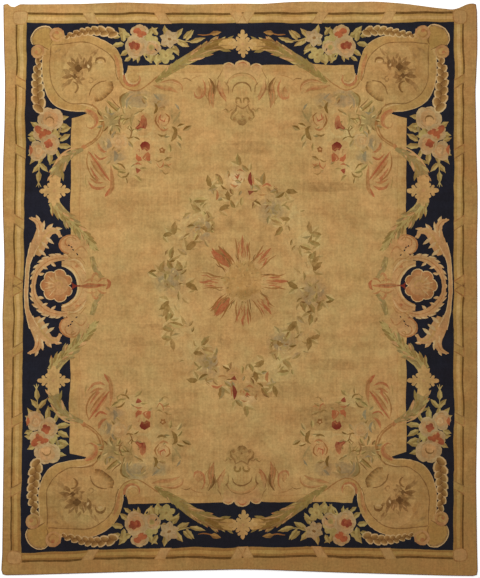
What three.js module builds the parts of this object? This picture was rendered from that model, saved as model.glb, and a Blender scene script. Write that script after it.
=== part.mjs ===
// A room-size wool carpet in the Aubusson manner, hand-knotted in one piece and lying flat on the floor.
// Units are millimetres. The origin is under the middle of the carpet, at floor level, with +Z up.
// +Y runs towards the end with the notched corner, and +X to the right of it as seen from above.
import * as THREE from 'three';
import { mergeVertices } from 'three/addons/utils/BufferGeometryUtils.js';

// Driving dimensions
const WIDTH = 3060;
const LENGTH = 3690;
const THICKNESS = 9;

// How finely the sheet is divided. The cells are small at the edges, where the outline wanders.
const COLUMNS = 36;
const ROWS = 42;
const EDGE_CROWDING = 0.85;

// The rim seen in section, from the floor up: the share of the thickness, and how far the rim is drawn in.
const RIM = [
  { share: 0.0, drawnIn: 2.5 },
  { share: 0.3, drawnIn: 0 },
  { share: 0.65, drawnIn: 0 },
  { share: 1.0, drawnIn: 3.5 },
];

// Each edge wanders, as the edge of a hand-made carpet does.
// A row says where it is along the edge, and how far the edge lies inside the straight line there.
const TOP_EDGE = [
  { at: -1529, inset: 23 },
  { at: -1503, inset: 15 },
  { at: -1470, inset: 45 },
  { at: -1424, inset: 20 },
  { at: -1020, inset: 16 },
  { at: -770, inset: 6 },
  { at: -320, inset: 19 },
  { at: -60, inset: 13 },
  { at: 130, inset: 17 },
  { at: 390, inset: 0 },
  { at: 645, inset: 5 },
  { at: 900, inset: 1 },
  { at: 1095, inset: 18 },
  { at: 1285, inset: 45 },
  { at: 1395, inset: 54 },
  { at: 1475, inset: 17 },
  { at: 1512, inset: 13 },
  { at: 1529, inset: 19 },
];
const BOTTOM_EDGE = [
  { at: -1529, inset: 11 },
  { at: -1505, inset: 5 },
  { at: -1340, inset: 8 },
  { at: -1020, inset: 17 },
  { at: -640, inset: 28 },
  { at: 60, inset: 44 },
  { at: 640, inset: 22 },
  { at: 1030, inset: 11 },
  { at: 1350, inset: 2 },
  { at: 1505, inset: 0 },
  { at: 1529, inset: 7 },
];
const LEFT_EDGE = [
  { at: -1842, inset: 8 },
  { at: -1815, inset: 0 },
  { at: -1710, inset: 6 },
  { at: -975, inset: 15 },
  { at: -140, inset: 8 },
  { at: 115, inset: 20 },
  { at: 245, inset: 19 },
  { at: 565, inset: 8 },
  { at: 820, inset: 11 },
  { at: 1080, inset: 21 },
  { at: 1335, inset: 25 },
  { at: 1560, inset: 18 },
  { at: 1842, inset: 14 },
];
const RIGHT_EDGE = [
  { at: -1842, inset: 6 },
  { at: -1815, inset: 1 },
  { at: -1650, inset: 5 },
  { at: -1230, inset: 11 },
  { at: -720, inset: 3 },
  { at: 115, inset: 4 },
  { at: 245, inset: 7 },
  { at: 565, inset: 0 },
  { at: 950, inset: 9 },
  { at: 1270, inset: 16 },
  { at: 1560, inset: 3 },
  { at: 1800, inset: 6 },
  { at: 1842, inset: 12 },
];

// Low swells where the old cloth doesn't lie quite flat: the middle, the reach each way, and the rise.
const SWELLS = [
  { x: -1440, y: 1700, reachX: 210, reachY: 260, rise: 6 },
  { x: 1330, y: 1690, reachX: 330, reachY: 240, rise: 7 },
  { x: 1400, y: 1240, reachX: 260, reachY: 420, rise: 5 },
  { x: -1430, y: 1270, reachX: 230, reachY: 380, rise: 5 },
  { x: -1440, y: 180, reachX: 220, reachY: 340, rise: 4 },
  { x: 60, y: -1720, reachX: 620, reachY: 210, rise: 5 },
  { x: 250, y: 1700, reachX: 520, reachY: 200, rise: 4 },
];

// The inset of an edge at one place along it, straight from row to row.
function insetAt(rows, at) {
  const next = rows.findIndex((row) => row.at >= at);
  if (next <= 0) return rows[next === 0 ? 0 : rows.length - 1].inset;
  const before = rows[next - 1];
  const after = rows[next];
  return THREE.MathUtils.mapLinear(at, before.at, after.at, before.inset, after.inset);
}

// The lift of the cloth off the floor. It is exactly zero outside the swells.
function liftAt(x, y) {
  let lift = 0;
  for (const swell of SWELLS) {
    const across = (x - swell.x) / swell.reachX;
    const along = (y - swell.y) / swell.reachY;
    const nearness = Math.max(0, 1 - across * across - along * along);
    lift += swell.rise * nearness * nearness;
  }
  return lift;
}

// An even share from 0 to 1, moved so that the steps are short near both ends.
function crowdToEnds(share) {
  return share - (EDGE_CROWDING / (2 * Math.PI)) * Math.sin(2 * Math.PI * share);
}

// The carpet starts as a finely divided slab, and each of its points is moved to its place on the cloth.
function carpetGeometry() {
  const layers = RIM.length - 1;
  const slab = new THREE.BoxGeometry(1, 1, 1, COLUMNS, ROWS, layers);
  slab.deleteAttribute('normal');
  slab.deleteAttribute('uv');
  const cloth = mergeVertices(slab);
  const place = cloth.attributes.position;
  for (let i = 0; i < place.count; i += 1) {
    const rim = RIM[Math.round((place.getZ(i) + 0.5) * layers)];
    const shareX = crowdToEnds(place.getX(i) + 0.5);
    const shareY = crowdToEnds(place.getY(i) + 0.5);
    const straightX = (shareX - 0.5) * WIDTH;
    const straightY = (shareY - 0.5) * LENGTH;
    const left = -WIDTH / 2 + insetAt(LEFT_EDGE, straightY) + rim.drawnIn;
    const right = WIDTH / 2 - insetAt(RIGHT_EDGE, straightY) - rim.drawnIn;
    const bottom = -LENGTH / 2 + insetAt(BOTTOM_EDGE, straightX) + rim.drawnIn;
    const top = LENGTH / 2 - insetAt(TOP_EDGE, straightX) - rim.drawnIn;
    const x = THREE.MathUtils.lerp(left, right, shareX);
    const y = THREE.MathUtils.lerp(bottom, top, shareY);
    place.setXYZ(i, x, y, rim.share * THICKNESS + liftAt(x, y));
  }
  // The uneven edges leave the outline a touch off the origin, so the cloth is slid back over it.
  cloth.computeBoundingBox();
  const middle = cloth.boundingBox.getCenter(new THREE.Vector3());
  cloth.translate(-middle.x, -middle.y, 0);
  cloth.computeVertexNormals();
  return cloth;
}

const wool = new THREE.MeshStandardMaterial({ color: 0xb39059, roughness: 0.95, metalness: 0 });
const rug = new THREE.Mesh(carpetGeometry(), wool);
rug.name = 'rug';

const carpet = new THREE.Group();
carpet.add(rug);

export default carpet;
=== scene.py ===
"""An old room-size wool carpet in the Aubusson manner, lying flat and seen from straight above.

The pattern is drawn as a knotter's cartoon: flat areas of dyed yarn, laid one over another in centimetres
from the middle of the carpet. The areas are cut into the carpet's own surface and carry their dye as a
colour attribute, and the wool material adds the pile, the wear and the uneven dyeing. Painted light and
shade are in the colours too: the guard band is lighter towards the positive-y end, the reed band darker
towards the negative-y end, and the wool material darkens the negative-y end and the positive-x side.
"""

import cmath
import math
import random

import bpy
import numpy as np
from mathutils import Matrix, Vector, noise
from mathutils.geometry import delaunay_2d_cdt


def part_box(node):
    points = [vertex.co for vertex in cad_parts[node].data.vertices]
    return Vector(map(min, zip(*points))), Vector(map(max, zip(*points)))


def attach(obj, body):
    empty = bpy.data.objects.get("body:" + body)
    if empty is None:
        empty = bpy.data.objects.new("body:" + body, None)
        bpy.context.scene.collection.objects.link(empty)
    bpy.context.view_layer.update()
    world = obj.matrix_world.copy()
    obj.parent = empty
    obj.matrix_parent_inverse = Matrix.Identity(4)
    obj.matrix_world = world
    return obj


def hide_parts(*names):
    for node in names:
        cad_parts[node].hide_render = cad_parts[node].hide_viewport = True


bl_info = {
    "name": "Aubusson Carpet",
    "version": (1, 0, 0),
    "blender": (4, 5, 0),
    "location": "3D View > Sidebar > Carpet",
    "description": "Makes an old hand-knotted carpet with its floral pattern, and a stage for it",
    "category": "Add Mesh",
}

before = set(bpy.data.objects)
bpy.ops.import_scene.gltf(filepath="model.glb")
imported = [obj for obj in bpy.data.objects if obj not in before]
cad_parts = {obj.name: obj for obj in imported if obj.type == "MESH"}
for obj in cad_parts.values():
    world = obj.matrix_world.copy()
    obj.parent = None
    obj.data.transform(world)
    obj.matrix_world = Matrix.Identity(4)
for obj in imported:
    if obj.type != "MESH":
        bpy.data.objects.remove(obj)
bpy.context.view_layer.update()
RUG_LOW, RUG_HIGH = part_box("rug")

CM = 0.01
ALL_CORNERS = ((1, 1), (-1, 1), (1, -1), (-1, -1))
BOTH_ENDS = ((1, 1), (1, -1))
BOTH_SIDES = ((1, 1), (-1, 1))
HALF_TURN = ((1, 1), (-1, -1))
ONCE = ((1, 1),)


def linear(red, green, blue):
    """A colour given as 0 to 255 on a screen, as the linear light that the shaders use."""
    steps = (value / 255 for value in (red, green, blue))
    return tuple(v / 12.92 if v <= 0.04045 else ((v + 0.055) / 1.055) ** 2.4 for v in steps)


def length_prop(name, description, default):
    """A length in metres that a user can change."""
    return bpy.props.FloatProperty(name=name, description=description, default=default, unit="LENGTH", min=0)


def yarn_prop(name, description, red, green, blue):
    """The colour of one dyed yarn."""
    return bpy.props.FloatVectorProperty(
        name=name, description=description, default=linear(red, green, blue), subtype="COLOR", min=0, max=1
    )


class CarpetSizes(bpy.types.PropertyGroup):
    """Where the main lines of the pattern lie, and how the cloth is made."""

    pile_height: length_prop("Thickness", "Pile and foundation together", 0.009)
    reed_x: length_prop("Reed, half width", "From the middle to the outer line of the reed band", 1.434)
    reed_y: length_prop("Reed, half length", "From the middle to the outer line of the reed band", 1.745)
    border_x: length_prop("Border, half width", "From the middle to the dark border's outer edge", 1.374)
    border_y: length_prop("Border, half length", "From the middle to the dark border's outer edge", 1.688)
    field_x: length_prop("Field, half width", "From the middle to the dark border's inner edge", 1.078)
    field_y: length_prop("Field, half length", "From the middle to the dark border's inner edge", 1.405)
    grid_step: length_prop("Surface step", "Distance between the points that carry the swells", 0.07)
    welt: length_prop("Overcast edge", "Width of the sewn edge", 0.006)


class CarpetYarns(bpy.types.PropertyGroup):
    """The dyed yarns of the pile."""

    ground: yarn_prop("Ground", "Golden beige of the field", 178, 142, 88)
    guard: yarn_prop("Guard band", "Tan of the plain outer band", 170, 132, 77)
    reed: yarn_prop("Reed", "Gold of the reed band", 168, 133, 73)
    reed_light: yarn_prop("Reed light", "Light ridge of the reed band", 182, 148, 92)
    reed_line: yarn_prop("Reed line", "Dark outline of the reed band", 92, 62, 20)
    navy: yarn_prop("Navy", "Blue black of the border", 27, 27, 36)
    gold: yarn_prop("Gold", "Scroll bands and palmettes", 171, 133, 76)
    cream: yarn_prop("Cream", "Lit edges of scrolls and petals", 196, 166, 118)
    bisque: yarn_prop("Bisque", "Pale rose petals", 180, 138, 90)
    rose: yarn_prop("Rose", "Turned rose petals", 156, 86, 51)
    crimson: yarn_prop("Crimson", "Hearts of the roses", 118, 45, 29)
    pink: yarn_prop("Pink", "Acanthus strokes in the field", 156, 99, 57)
    leaf: yarn_prop("Leaf", "Light side of a leaf", 168, 146, 88)
    pale: yarn_prop("Pale leaf", "Lightest side of the leaves in the field", 184, 158, 104)
    leaf_shade: yarn_prop("Leaf shade", "Dark side of a leaf", 134, 112, 60)
    sage: yarn_prop("Sage", "Grey green of the garlands", 139, 118, 72)
    olive: yarn_prop("Olive", "Dark green strokes", 118, 88, 38)
    slate: yarn_prop("Slate", "Faded blue flowers", 136, 119, 86)
    umber: yarn_prop("Umber", "Brown shading", 112, 76, 36)
    ochre: yarn_prop("Ochre", "Twisted horns", 152, 112, 58)
    madder: yarn_prop("Madder", "Thin red-brown outlines", 140, 92, 46)
    selvedge: yarn_prop("Selvedge", "Wool sewn over the edges", 120, 84, 50)


class CarpetStage(bpy.types.PropertyGroup):
    """The floor, the light and the camera."""

    lens: bpy.props.FloatProperty(name="Lens", description="Focal length", default=60, unit="CAMERA")
    sky: bpy.props.FloatProperty(name="Sky", description="Strength of the even light", default=0.5)
    key: bpy.props.FloatProperty(
        name="Key light", description="Power of the large soft lamp", default=250, unit="POWER"
    )
    floor_half: length_prop("Floor", "Half the floor's side", 12)


def smooth(points, step, closed=False):
    """A smooth line through the points, with a point about every step."""
    count = len(points)
    line = []
    for i in range(count if closed else count - 1):
        if closed:
            a, b, c, d = (points[(i + k) % count] for k in (-1, 0, 1, 2))
        else:
            a, b, c, d = (points[min(max(i + k, 0), count - 1)] for k in (-1, 0, 1, 2))
        pieces = max(1, round(abs(c - b) / step))
        for j in range(pieces):
            t = j / pieces
            bend = (2 * a - 5 * b + 4 * c - d) * t * t + (3 * b - a - 3 * c + d) * t**3
            line.append((2 * b + (c - a) * t + bend) / 2)
    if not closed:
        line.append(points[-1])
    return line


def spread(values, share):
    """The value at a share of the way along an evenly spaced list."""
    if not hasattr(values, "__len__"):
        return values
    place = share * (len(values) - 1)
    low = min(int(place), len(values) - 2)
    return values[low] + (values[low + 1] - values[low]) * (place - low)


def arc(centre, radius, start, end, count=8):
    """Points on a circle from one angle to another, in degrees."""
    angles = (math.radians(start + (end - start) * i / count) for i in range(count + 1))
    return [centre + radius * cmath.exp(1j * angle) for angle in angles]


def direction(degrees):
    """A step of one centimetre at an angle."""
    return cmath.exp(1j * math.radians(degrees))


def places(*pairs):
    """Points from pairs of centimetres."""
    return [complex(x, y) for x, y in pairs]


def box_outline(half_x, half_y, step=6.0):
    """A rectangle round the middle, with points along its sides."""
    corners = places((half_x, half_y), (-half_x, half_y), (-half_x, -half_y), (half_x, -half_y))
    outline = []
    for near, far in zip(corners, corners[1:] + corners[:1]):
        count = round(abs(far - near) / step)
        outline += [near + (far - near) * i / count for i in range(count)]
    return outline


def lobed(at, radius, petals, depth, turn=0.0, count=4):
    """A round outline with petals that reach out and a dip of the given depth between them."""
    outline = []
    for i in range(petals * count):
        angle = 2 * math.pi * i / (petals * count)
        reach = 1 - depth + depth * abs(math.cos(petals * angle / 2)) ** 0.7
        outline.append(at + radius * reach * cmath.exp(1j * (angle + math.radians(turn))))
    return outline


def oval(at, radius, ratio=1.0, turn=0.0, count=12):
    """An oval with its long radius at an angle."""
    outline = []
    for i in range(count):
        point = cmath.exp(2j * math.pi * i / count)
        outline.append(at + radius * complex(point.real, point.imag * ratio) * direction(turn))
    return outline


# How far the lines of the pattern slip and rise by hand, in centimetres, at places across and along.
SLIP_AT = (-143.4, -137.4, -107.8, -60, 0, 60, 107.8, 137.4, 143.4)
SLIP = (-1.55, -1.2, -0.75, 1.0, 1.8, 1.1, -0.65, 0.2, 0.4)
RISE_AT = (-175, -169, -140, -60, 0, 60, 140, 169, 175)
RISE = (0.4, -0.1, 1.6, 1.6, 1.8, 2.2, 3.1, 1.9, 2.3)

# The wander of every line as a pitch in turns for each centimetre and a reach in centimetres.
SWAY_PITCH, SWAY = 0.055, 0.9
RAGGED_PITCH, RAGGED = 0.9, 0.32


def drift(point):
    """Where a point of the even drawing ended up on the loom, in centimetres on the carpet."""
    x, y = point.real, point.imag
    middle = max(0.0, 1 - (x / 137) ** 2)
    slip = np.interp(x, SLIP_AT, SLIP) + 0.012 * y * np.interp(-x, (90, 137), (0, 1))
    tilt = 0.004 * x * np.interp(y, (-140, -60, 60, 140), (1.5, 0, 0, 0.5))
    rise = np.interp(y, RISE_AT, RISE) + tilt
    sag = 3.2 * middle * np.interp(-y, (100, 165), (0, 1)) - 1.1 * middle * np.interp(-y, (169, 175), (0, 1))
    loose = noise.noise_vector((x * SWAY_PITCH, y * SWAY_PITCH, 0)) * SWAY
    ragged = noise.noise_vector((x * RAGGED_PITCH, y * RAGGED_PITCH, 5)) * RAGGED
    return complex(x + slip + loose.x + ragged.x, y + rise + sag + loose.y + ragged.y)


def lens(base, tip, left, right, count=5):
    """A pointed shape from base to tip, whose sides bulge by the given widths."""
    along = tip - base
    side = 1j * along / abs(along)
    shares = [i / count for i in range(1, count)]
    near = [base + along * t + side * left * math.sin(math.pi * t) for t in shares]
    far = [base + along * t - side * right * math.sin(math.pi * t) for t in reversed(shares)]
    return [base, *near, tip, *far]


def beside(line, gap):
    """A line moved to its left by a gap, which closes at both ends."""
    last = len(line) - 1
    moved = []
    for i, point in enumerate(line):
        ahead = line[min(i + 1, last)] - line[max(i - 1, 0)]
        moved.append(point + 1j * ahead / abs(ahead) * gap * math.sin(math.pi * i / last))
    return moved


class Cartoon:
    """The drawing that the carpet is knotted from: areas of yarn, each over the ones before it."""

    SEED = 11
    BAND_PIECE = 5
    FOLIAGE = (
        ("leaf", "leaf_shade"), ("sage", "olive"), ("pale", "leaf_shade"), ("slate", "leaf_shade"),
        ("pale", "sage"), ("leaf_shade", "umber"), ("pale", "olive"),
    )  # fmt: skip

    def __init__(self, yarns):
        self.yarns = yarns
        self.copies = ONCE
        self.chance = random.Random(self.SEED)
        noise.seed_set(self.SEED)
        self.outlines = []
        self.dyes = []

    def dye(self, yarn, strength, shade):
        """Red, green, blue and strength of a yarn."""
        return [min(1.0, channel * shade) for channel in getattr(self.yarns, yarn)] + [strength]

    def area(self, points, yarn, strength=1.0, shade=1.0, far=None, run=None, rounded=False):
        """One area of yarn in each copy. Its dye may run into a far one from run[0] to run[1]."""
        run = run or (points[0], points[0] + 1)
        for across, along in self.copies:
            outline = []
            for p in points:
                place = drift(complex(p.real * across, p.imag * along))
                if not outline or abs(place - outline[-1]) > 0.02:
                    outline.append(place)
            if abs(outline[0] - outline[-1]) <= 0.02:
                outline.pop()
            if len(outline) < 3:
                continue
            turned = sum((a.conjugate() * b).imag for a, b in zip(outline, outline[1:] + outline[:1]))
            if turned < 0:
                outline.reverse()
            uneven = shade * self.chance.uniform(0.96, 1.04)
            near = self.dye(yarn, strength, uneven)
            end = self.dye(far[0], far[1], uneven) if far else near
            start, stop = (drift(complex(p.real * across, p.imag * along)) for p in run)
            self.outlines.append(outline)
            self.dyes.append([*near, *end, start.real, start.imag, stop.real, stop.imag, float(rounded)])

    def band(self, line, widths, yarn, strength=1.0, shade=1.0, step=1.6, far=None):
        """A ribbon along a smooth line. Its widths are spread evenly over its length."""
        path = smooth(line, step)
        last = len(path) - 1
        left, right = [], []
        for i, point in enumerate(path):
            ahead = path[min(i + 1, last)] - path[max(i - 1, 0)]
            half = 1j * ahead / abs(ahead) * spread(widths, i / last) / 2
            left.append(point + half)
            right.append(point - half)
        for i in range(0, last, self.BAND_PIECE):
            j = min(i + self.BAND_PIECE, last)
            outline = left[i : j + 1] + right[i : j + 1][::-1]
            self.area(outline, yarn, strength, shade, far, (path[0], path[-1]))

    def leaf(self, base, tip, width, light="leaf", dark="leaf_shade", strength=1.0, teeth=3, bend=0.0):
        """A pointed leaf with toothed sides, one side in shade."""
        along = tip - base
        side = 1j * along / abs(along)
        count = 2 * teeth + 3
        spine, left, right = [base], [], []
        for i in range(1, count):
            t = i / count
            half = width / 2 * math.sin(math.pi * t**0.8) * (0.8 if teeth and i % 2 == 0 else 1.0)
            middle = base + along * t + side * bend * math.sin(math.pi * t)
            spine.append(middle)
            left.append(middle + side * half)
            right.append(middle - side * half)
        self.area(
            [base, *left, tip, *right[::-1]], light, 0.9 * strength, 0.97, (light, strength), (base, tip),
        )
        self.area([*spine, tip, *right[::-1]], dark, strength, 1.0, (dark, 0.7 * strength), (base, tip))

    def rose(self, at, radius, petal="bisque", fold="rose", heart="crimson", strength=1.0, turn=0.0):
        """A full rose: broad outer petals, folded petals within, and a dark heart to one side."""
        for k, reach in enumerate((0.6, 0.5, 0.58, 0.5, 0.6)):
            angle = turn + 73 * k + self.chance.uniform(-10, 10)
            centre = at + reach * radius * direction(angle)
            edge = at + 1.1 * radius * direction(angle)
            tone = self.chance.uniform(0.92, 1.03)
            shape = oval(centre, 0.58 * radius, 0.8, angle + 90 + self.chance.uniform(-15, 15), 10)
            self.area(shape, petal, strength, 0.8 * tone, ("cream", strength), (at, edge))
        for k in range(4):
            angle = turn + 25 + 90 * k + self.chance.uniform(-14, 14)
            centre = at + 0.34 * radius * direction(angle)
            base = centre - 0.46 * radius * direction(angle + 82)
            tip = centre + 0.46 * radius * direction(angle + 82)
            yarn = fold if k % 2 == 0 else petal
            shape = lens(base, tip, 0.02 * radius, 0.32 * radius, 4)
            self.area(shape, yarn, 0.8 * strength, 0.96, (petal, strength), (at, centre))
        centre = at + 0.12 * radius * direction(turn)
        outline = lobed(centre, 0.36 * radius, 3, 0.35, turn, 3)
        self.area(outline, heart, strength, 1.0, (fold, strength), (centre, centre + 0.5 * radius), True)
        for k in (0, 95, 215):
            outer = arc(at, 0.74 * radius, turn + k, turn + k + 48, 3)
            self.band(outer, (0.05, 0.6, 0.05), "madder", 0.55 * strength, step=3)

    def blossom(
        self, at, radius, petals=5, yarn="cream", eye="umber", strength=1.0, turn=0.0, shade=1.0,
        round_petals=False,
    ):
        """A flat open flower with separate petals."""
        for k in range(petals):
            angle = turn + 360 * k / petals + self.chance.uniform(-7, 7)
            reach = radius * self.chance.uniform(0.9, 1.08)
            base = at - 0.1 * radius * direction(angle)
            tip = at + reach * direction(angle)
            tone = shade * self.chance.uniform(0.92, 1.03)
            side = 0.36 * radius
            if round_petals:
                centre = at + 0.56 * reach * direction(angle)
                shape = oval(centre, 0.44 * reach, self.chance.uniform(0.78, 0.98), angle, 11)
            else:
                shape = lens(base, tip, side, side, 6)
            self.area(shape, yarn, strength, 0.82 * tone, (yarn, strength), (at, tip))
            self.band(
                [at + 0.35 * reach * direction(angle), at + 0.8 * reach * direction(angle)], (0.5, 0.1),
                eye, 0.3 * strength,
            )
        self.area(oval(at, 0.4 * radius, 1, 0, 10), yarn, strength, 0.88 * shade)
        self.area(oval(at, 0.2 * radius, 0.7, turn, 6), eye, 0.8 * strength)

    def glow(self, at, radius, ratio, yarn, strength, shade=1.0):
        """A faded patch that is strongest in the middle."""
        for share in (1.0, 0.5):
            outline = oval(at, radius * share, ratio, 0, 10)
            self.area(outline, yarn, strength, shade, (yarn, 0.0), (at, at + radius), True)

    def scroll(self, at, radius, start, sweep, yarn, width, strength=1.0):
        """A line that winds inwards from its outer radius."""
        count = max(6, round(abs(sweep) / 25))
        line = []
        for i in range(count + 1):
            t = i / count
            line.append(at + radius * (1 - 0.72 * t) * direction(start + sweep * t))
        self.band(line, (width, width, 0.5 * width), yarn, strength, step=0.8)

    def acanthus(self, line, widths, lobes, sides, yarn="bisque", edge="cream", vein="pink", strength=1.0):
        """A long curling leaf, with lobes on the sides given as 1 for left and -1 for right."""
        path = smooth(line, 0.8)
        last = len(path) - 1
        for side in sides:
            for k in range(lobes):
                share = (k + 0.6) / lobes
                i = min(int(share * last), last - 1)
                ahead = path[i + 1] - path[i]
                ahead /= abs(ahead)
                width = spread(widths, share)
                base = path[i] + side * 1j * ahead * 0.2 * width
                tip = base + ahead * 0.75 * width + side * 1j * ahead * 0.62 * width
                self.leaf(base - ahead * 0.5 * width, tip, 0.62 * width, edge, yarn, strength, 0)
        self.band(line, widths, yarn, strength)
        self.band(line, [0.16 * w for w in widths], vein, 0.7 * strength)

    def garland(self, line, widths, strength=1.0, light="sage", shade=1.07):
        """A rope of small leaves, grey green with brown shade and a few pink tips."""
        path = smooth(line, 2.4)
        last = len(path) - 1
        self.band(line, [0.86 * w for w in widths], light, strength, shade, step=2.4)
        for i in range(last):
            ahead = path[i + 1] - path[i]
            ahead /= abs(ahead)
            width = spread(widths, i / last)
            for side in (1, -1):
                if self.chance.random() < 0.2:
                    continue
                lean = ahead * direction(side * self.chance.uniform(14, 32))
                base = path[i] + side * 1j * ahead * self.chance.uniform(0.04, 0.26) * width
                reach = self.chance.uniform(0.65, 1.0) * width
                yarn = self.chance.choice((light, "sage", "leaf", "leaf_shade", "bisque", "leaf_shade"))
                tip = base + reach * lean
                self.area(lens(base, tip, 0.13 * width, 0.11 * width, 4), yarn, strength, 1.0)
                if self.chance.random() < 0.4:
                    self.area(lens(base, tip, 0.0, 0.1 * width, 3), "olive", 0.6 * strength)
                if self.chance.random() < 0.1:
                    self.area(
                        lens(tip - 0.3 * reach * lean, tip, 0.06 * width, 0.05 * width, 2), "pink",
                        0.7 * strength,
                    )
            if i % 3:
                yarn = self.chance.choice(("olive", "umber", "olive"))
                offset = 1j * ahead * self.chance.uniform(-0.2, 0.32) * width
                start = path[i] + offset
                finish = start + self.chance.uniform(2.4, 4.4) * ahead * direction(10)
                self.area(
                    lens(start, finish, 0.08 * width, 0.0, 3), yarn,
                    self.chance.uniform(0.5, 0.9) * strength,
                )

    def rope(self, line, widths, twists):
        """A plaited horn: strands from both sides in turn, each pale at its edge and brown in its fold."""
        path = smooth(line, 0.5)
        last = len(path) - 1
        pitch = abs(path[-1] - path[0]) / twists
        self.band(line, [0.62 * w for w in widths], "umber", 1.0, 1.0, step=2.4)
        for k in range(2 * twists):
            share = min(0.99, (0.5 * k + 0.3) / twists)
            i = min(int(share * last), last - 1)
            ahead = path[i + 1] - path[i]
            ahead /= abs(ahead)
            wide = spread(widths, share)
            side = 1 if k % 2 else -1
            out = 1j * side * wide * ahead
            at = path[i] + 0.19 * out
            lean = math.degrees(math.atan2(ahead.imag, ahead.real)) - side * 30
            long = 0.42 * wide + 0.16 * pitch
            self.area(oval(at, long, 0.62, lean, 9), "cream", 0.9, 0.94)
            inner = at - 0.05 * out - 0.06 * pitch * ahead
            run = (inner - 0.22 * out - 0.1 * pitch * ahead, inner + 0.26 * out + 0.3 * pitch * ahead)
            self.area(oval(inner, 0.82 * long, 0.62, lean, 8), "umber", 1.0, 0.98, ("gold", 1.0), run)

    def clasp_arm(self, at, angle, reach):
        """One arm of a leafy cross."""
        ahead = direction(angle)
        self.band([at, at + 0.8 * reach * ahead], (0.52 * reach, 0.26 * reach), "ground", shade=1.0)
        for along, out, radius in ((0.8, 0, 0.22), (0.6, 0.23, 0.15), (0.36, 0.33, 0.16)):
            for side in (1, -1) if out else (0,):
                centre = at + reach * ahead * complex(along, side * out)
                lobe = oval(centre, radius * reach, 0.7, angle + side * 42, 10)
                self.area(lobe, "ground", 1.0, 1.05)

    def clasp(self, at, reach, angles):
        """A leafy cross that holds two garlands together."""
        for angle in angles:
            self.clasp_arm(at, angle, reach)
        self.area(oval(at, 0.38 * reach), "ground", 1.0, 1.0)
        self.area(oval(at, 0.1 * reach, 1, 0, 6), "bisque", 1.0, 0.9)

    def volute(self, at, radius, start):
        """A rolled end, rosy on its outer turn and red at its heart."""
        self.area(
            oval(at, radius, 1, 0, 14), "bisque", 1.0, 0.96, ("pink", 0.8),
            (at, at + complex(-radius, radius)),
        )
        self.area(oval(at + complex(-0.4, -0.6), 0.72 * radius, 1, 0, 10), "gold", 0.8, 0.98)
        curl = [
            at + r * radius * direction(start + turn)
            for r, turn in ((0.66, 0), (0.68, 70), (0.6, 150), (0.45, 225), (0.2, 290))
        ]
        self.band(curl, (0.2, 0.7, 0.9, 1.2, 0.9), "madder", 0.65, step=1.4)
        heart = at + 0.26 * radius * direction(start + 250)
        self.area(
            lobed(heart, 0.3 * radius, 3, 0.3, start, 3), "rose", 0.7, 1.0, ("pink", 0.4),
            (heart, heart - 0.5j * radius),
        )

    def feather(self, line, width, light="bisque", tone="pink", outline="madder", strength=1.0):
        """A curled acanthus stroke: light, with a deeper side, a fold and a thin dark outline."""
        path = smooth(line, 1.6)
        self.band(line, [width * w for w in (0.12, 0.7, 0.9, 0.65, 0.1)], light, 0.7 * strength, step=2)
        self.band(
            beside(path, 0.2 * width), [width * w for w in (0.05, 0.34, 0.4, 0.3, 0.05)], tone,
            0.8 * strength, step=2,
        )
        self.band(beside(path, 0.42 * width), (0.2, 0.7, 0.6, 0.2), outline, 0.7 * strength, step=2)
        self.band(beside(path, -0.42 * width), (0.1, 0.5, 0.4, 0.1), outline, 0.5 * strength, step=2)

    def foliage(self, at, reach, ratio, count, size, strength=0.7):
        """A loose clump of small leaves that point outwards, some light and some dark."""
        turn = self.chance.uniform(0, 360)
        for k in range(count):
            angle = turn + 137.5 * k
            away = reach * math.sqrt((k + 0.6) / count)
            step = direction(angle)
            base = at + away * complex(step.real, step.imag * ratio)
            length = size * self.chance.uniform(0.65, 1.35)
            tip = base + length * direction(angle + self.chance.uniform(-55, 55))
            light, dark = self.chance.choice(self.FOLIAGE)
            force = min(1.0, strength * self.chance.uniform(0.75, 1.2))
            self.area(lens(base, tip, 0.24 * length, 0.2 * length, 4), light, 0.8 * force)
            self.area(lens(base, tip, 0.0, 0.22 * length, 4), dark, min(1.0, 1.15 * force), 0.92)

    def stroke(self, line, width, yarn, strength=0.8, tail=None):
        """One brush-like stroke, pointed at both ends. It may run into another yarn at its tail."""
        far = (tail, strength) if tail else None
        self.band(line, (0.08 * width, 0.85 * width, width, 0.1 * width), yarn, strength, 1.0, 2.0, far)


def draw_ground(cartoon, sizes, rim):
    """The plain outer band, the reed band, the dark border and the field, with painted light and shade."""
    cartoon.outlines.append(rim)
    # Painted light: the guard band grows lighter and less yellow from y = 60 cm to y = 184 cm.
    low, high = cartoon.dye("guard", 1.0, 0.98), cartoon.dye("guard", 1.0, 1.06)
    high[2] *= 1.07
    cartoon.dyes.append([*low, *high, 0, 60, 0, 184, 0])
    reed_x, reed_y = sizes.reed_x / CM, sizes.reed_y / CM
    border_x, border_y = sizes.border_x / CM, sizes.border_y / CM
    field_x, field_y = sizes.field_x / CM, sizes.field_y / CM
    cartoon.copies = ONCE
    # Painted shade: the reed band runs into darker ochre from y = -40 cm to y = -180 cm.
    painted_shade_run = (complex(0, -40), complex(0, -180))
    cartoon.area(box_outline(reed_x + 0.3, reed_y + 0.65, 4), "reed_line", 0.9)
    cartoon.area(box_outline(reed_x - 0.75, reed_y - 0.75, 4), "reed", 1.0, 1.0, ("ochre", 1.0), painted_shade_run)
    cartoon.area(box_outline(reed_x - 1.9, reed_y - 1.9, 5), "reed_light", 1.0, 1.0, ("reed", 1.0), painted_shade_run)
    cartoon.area(box_outline(reed_x - 4.0, reed_y - 4.0, 5), "reed", 1.0, 0.97, ("ochre", 1.0), painted_shade_run)
    cartoon.area(box_outline(border_x + 0.45, border_y + 0.45, 3), "reed", 1.0, 0.8)
    cartoon.area(box_outline(border_x, border_y, 3), "navy")
    cartoon.area(box_outline(field_x, field_y, 3), "gold", 0.4)
    cartoon.area(box_outline(field_x - 5.9, field_y - 4.6, 5), "ground", 0.0)


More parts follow.
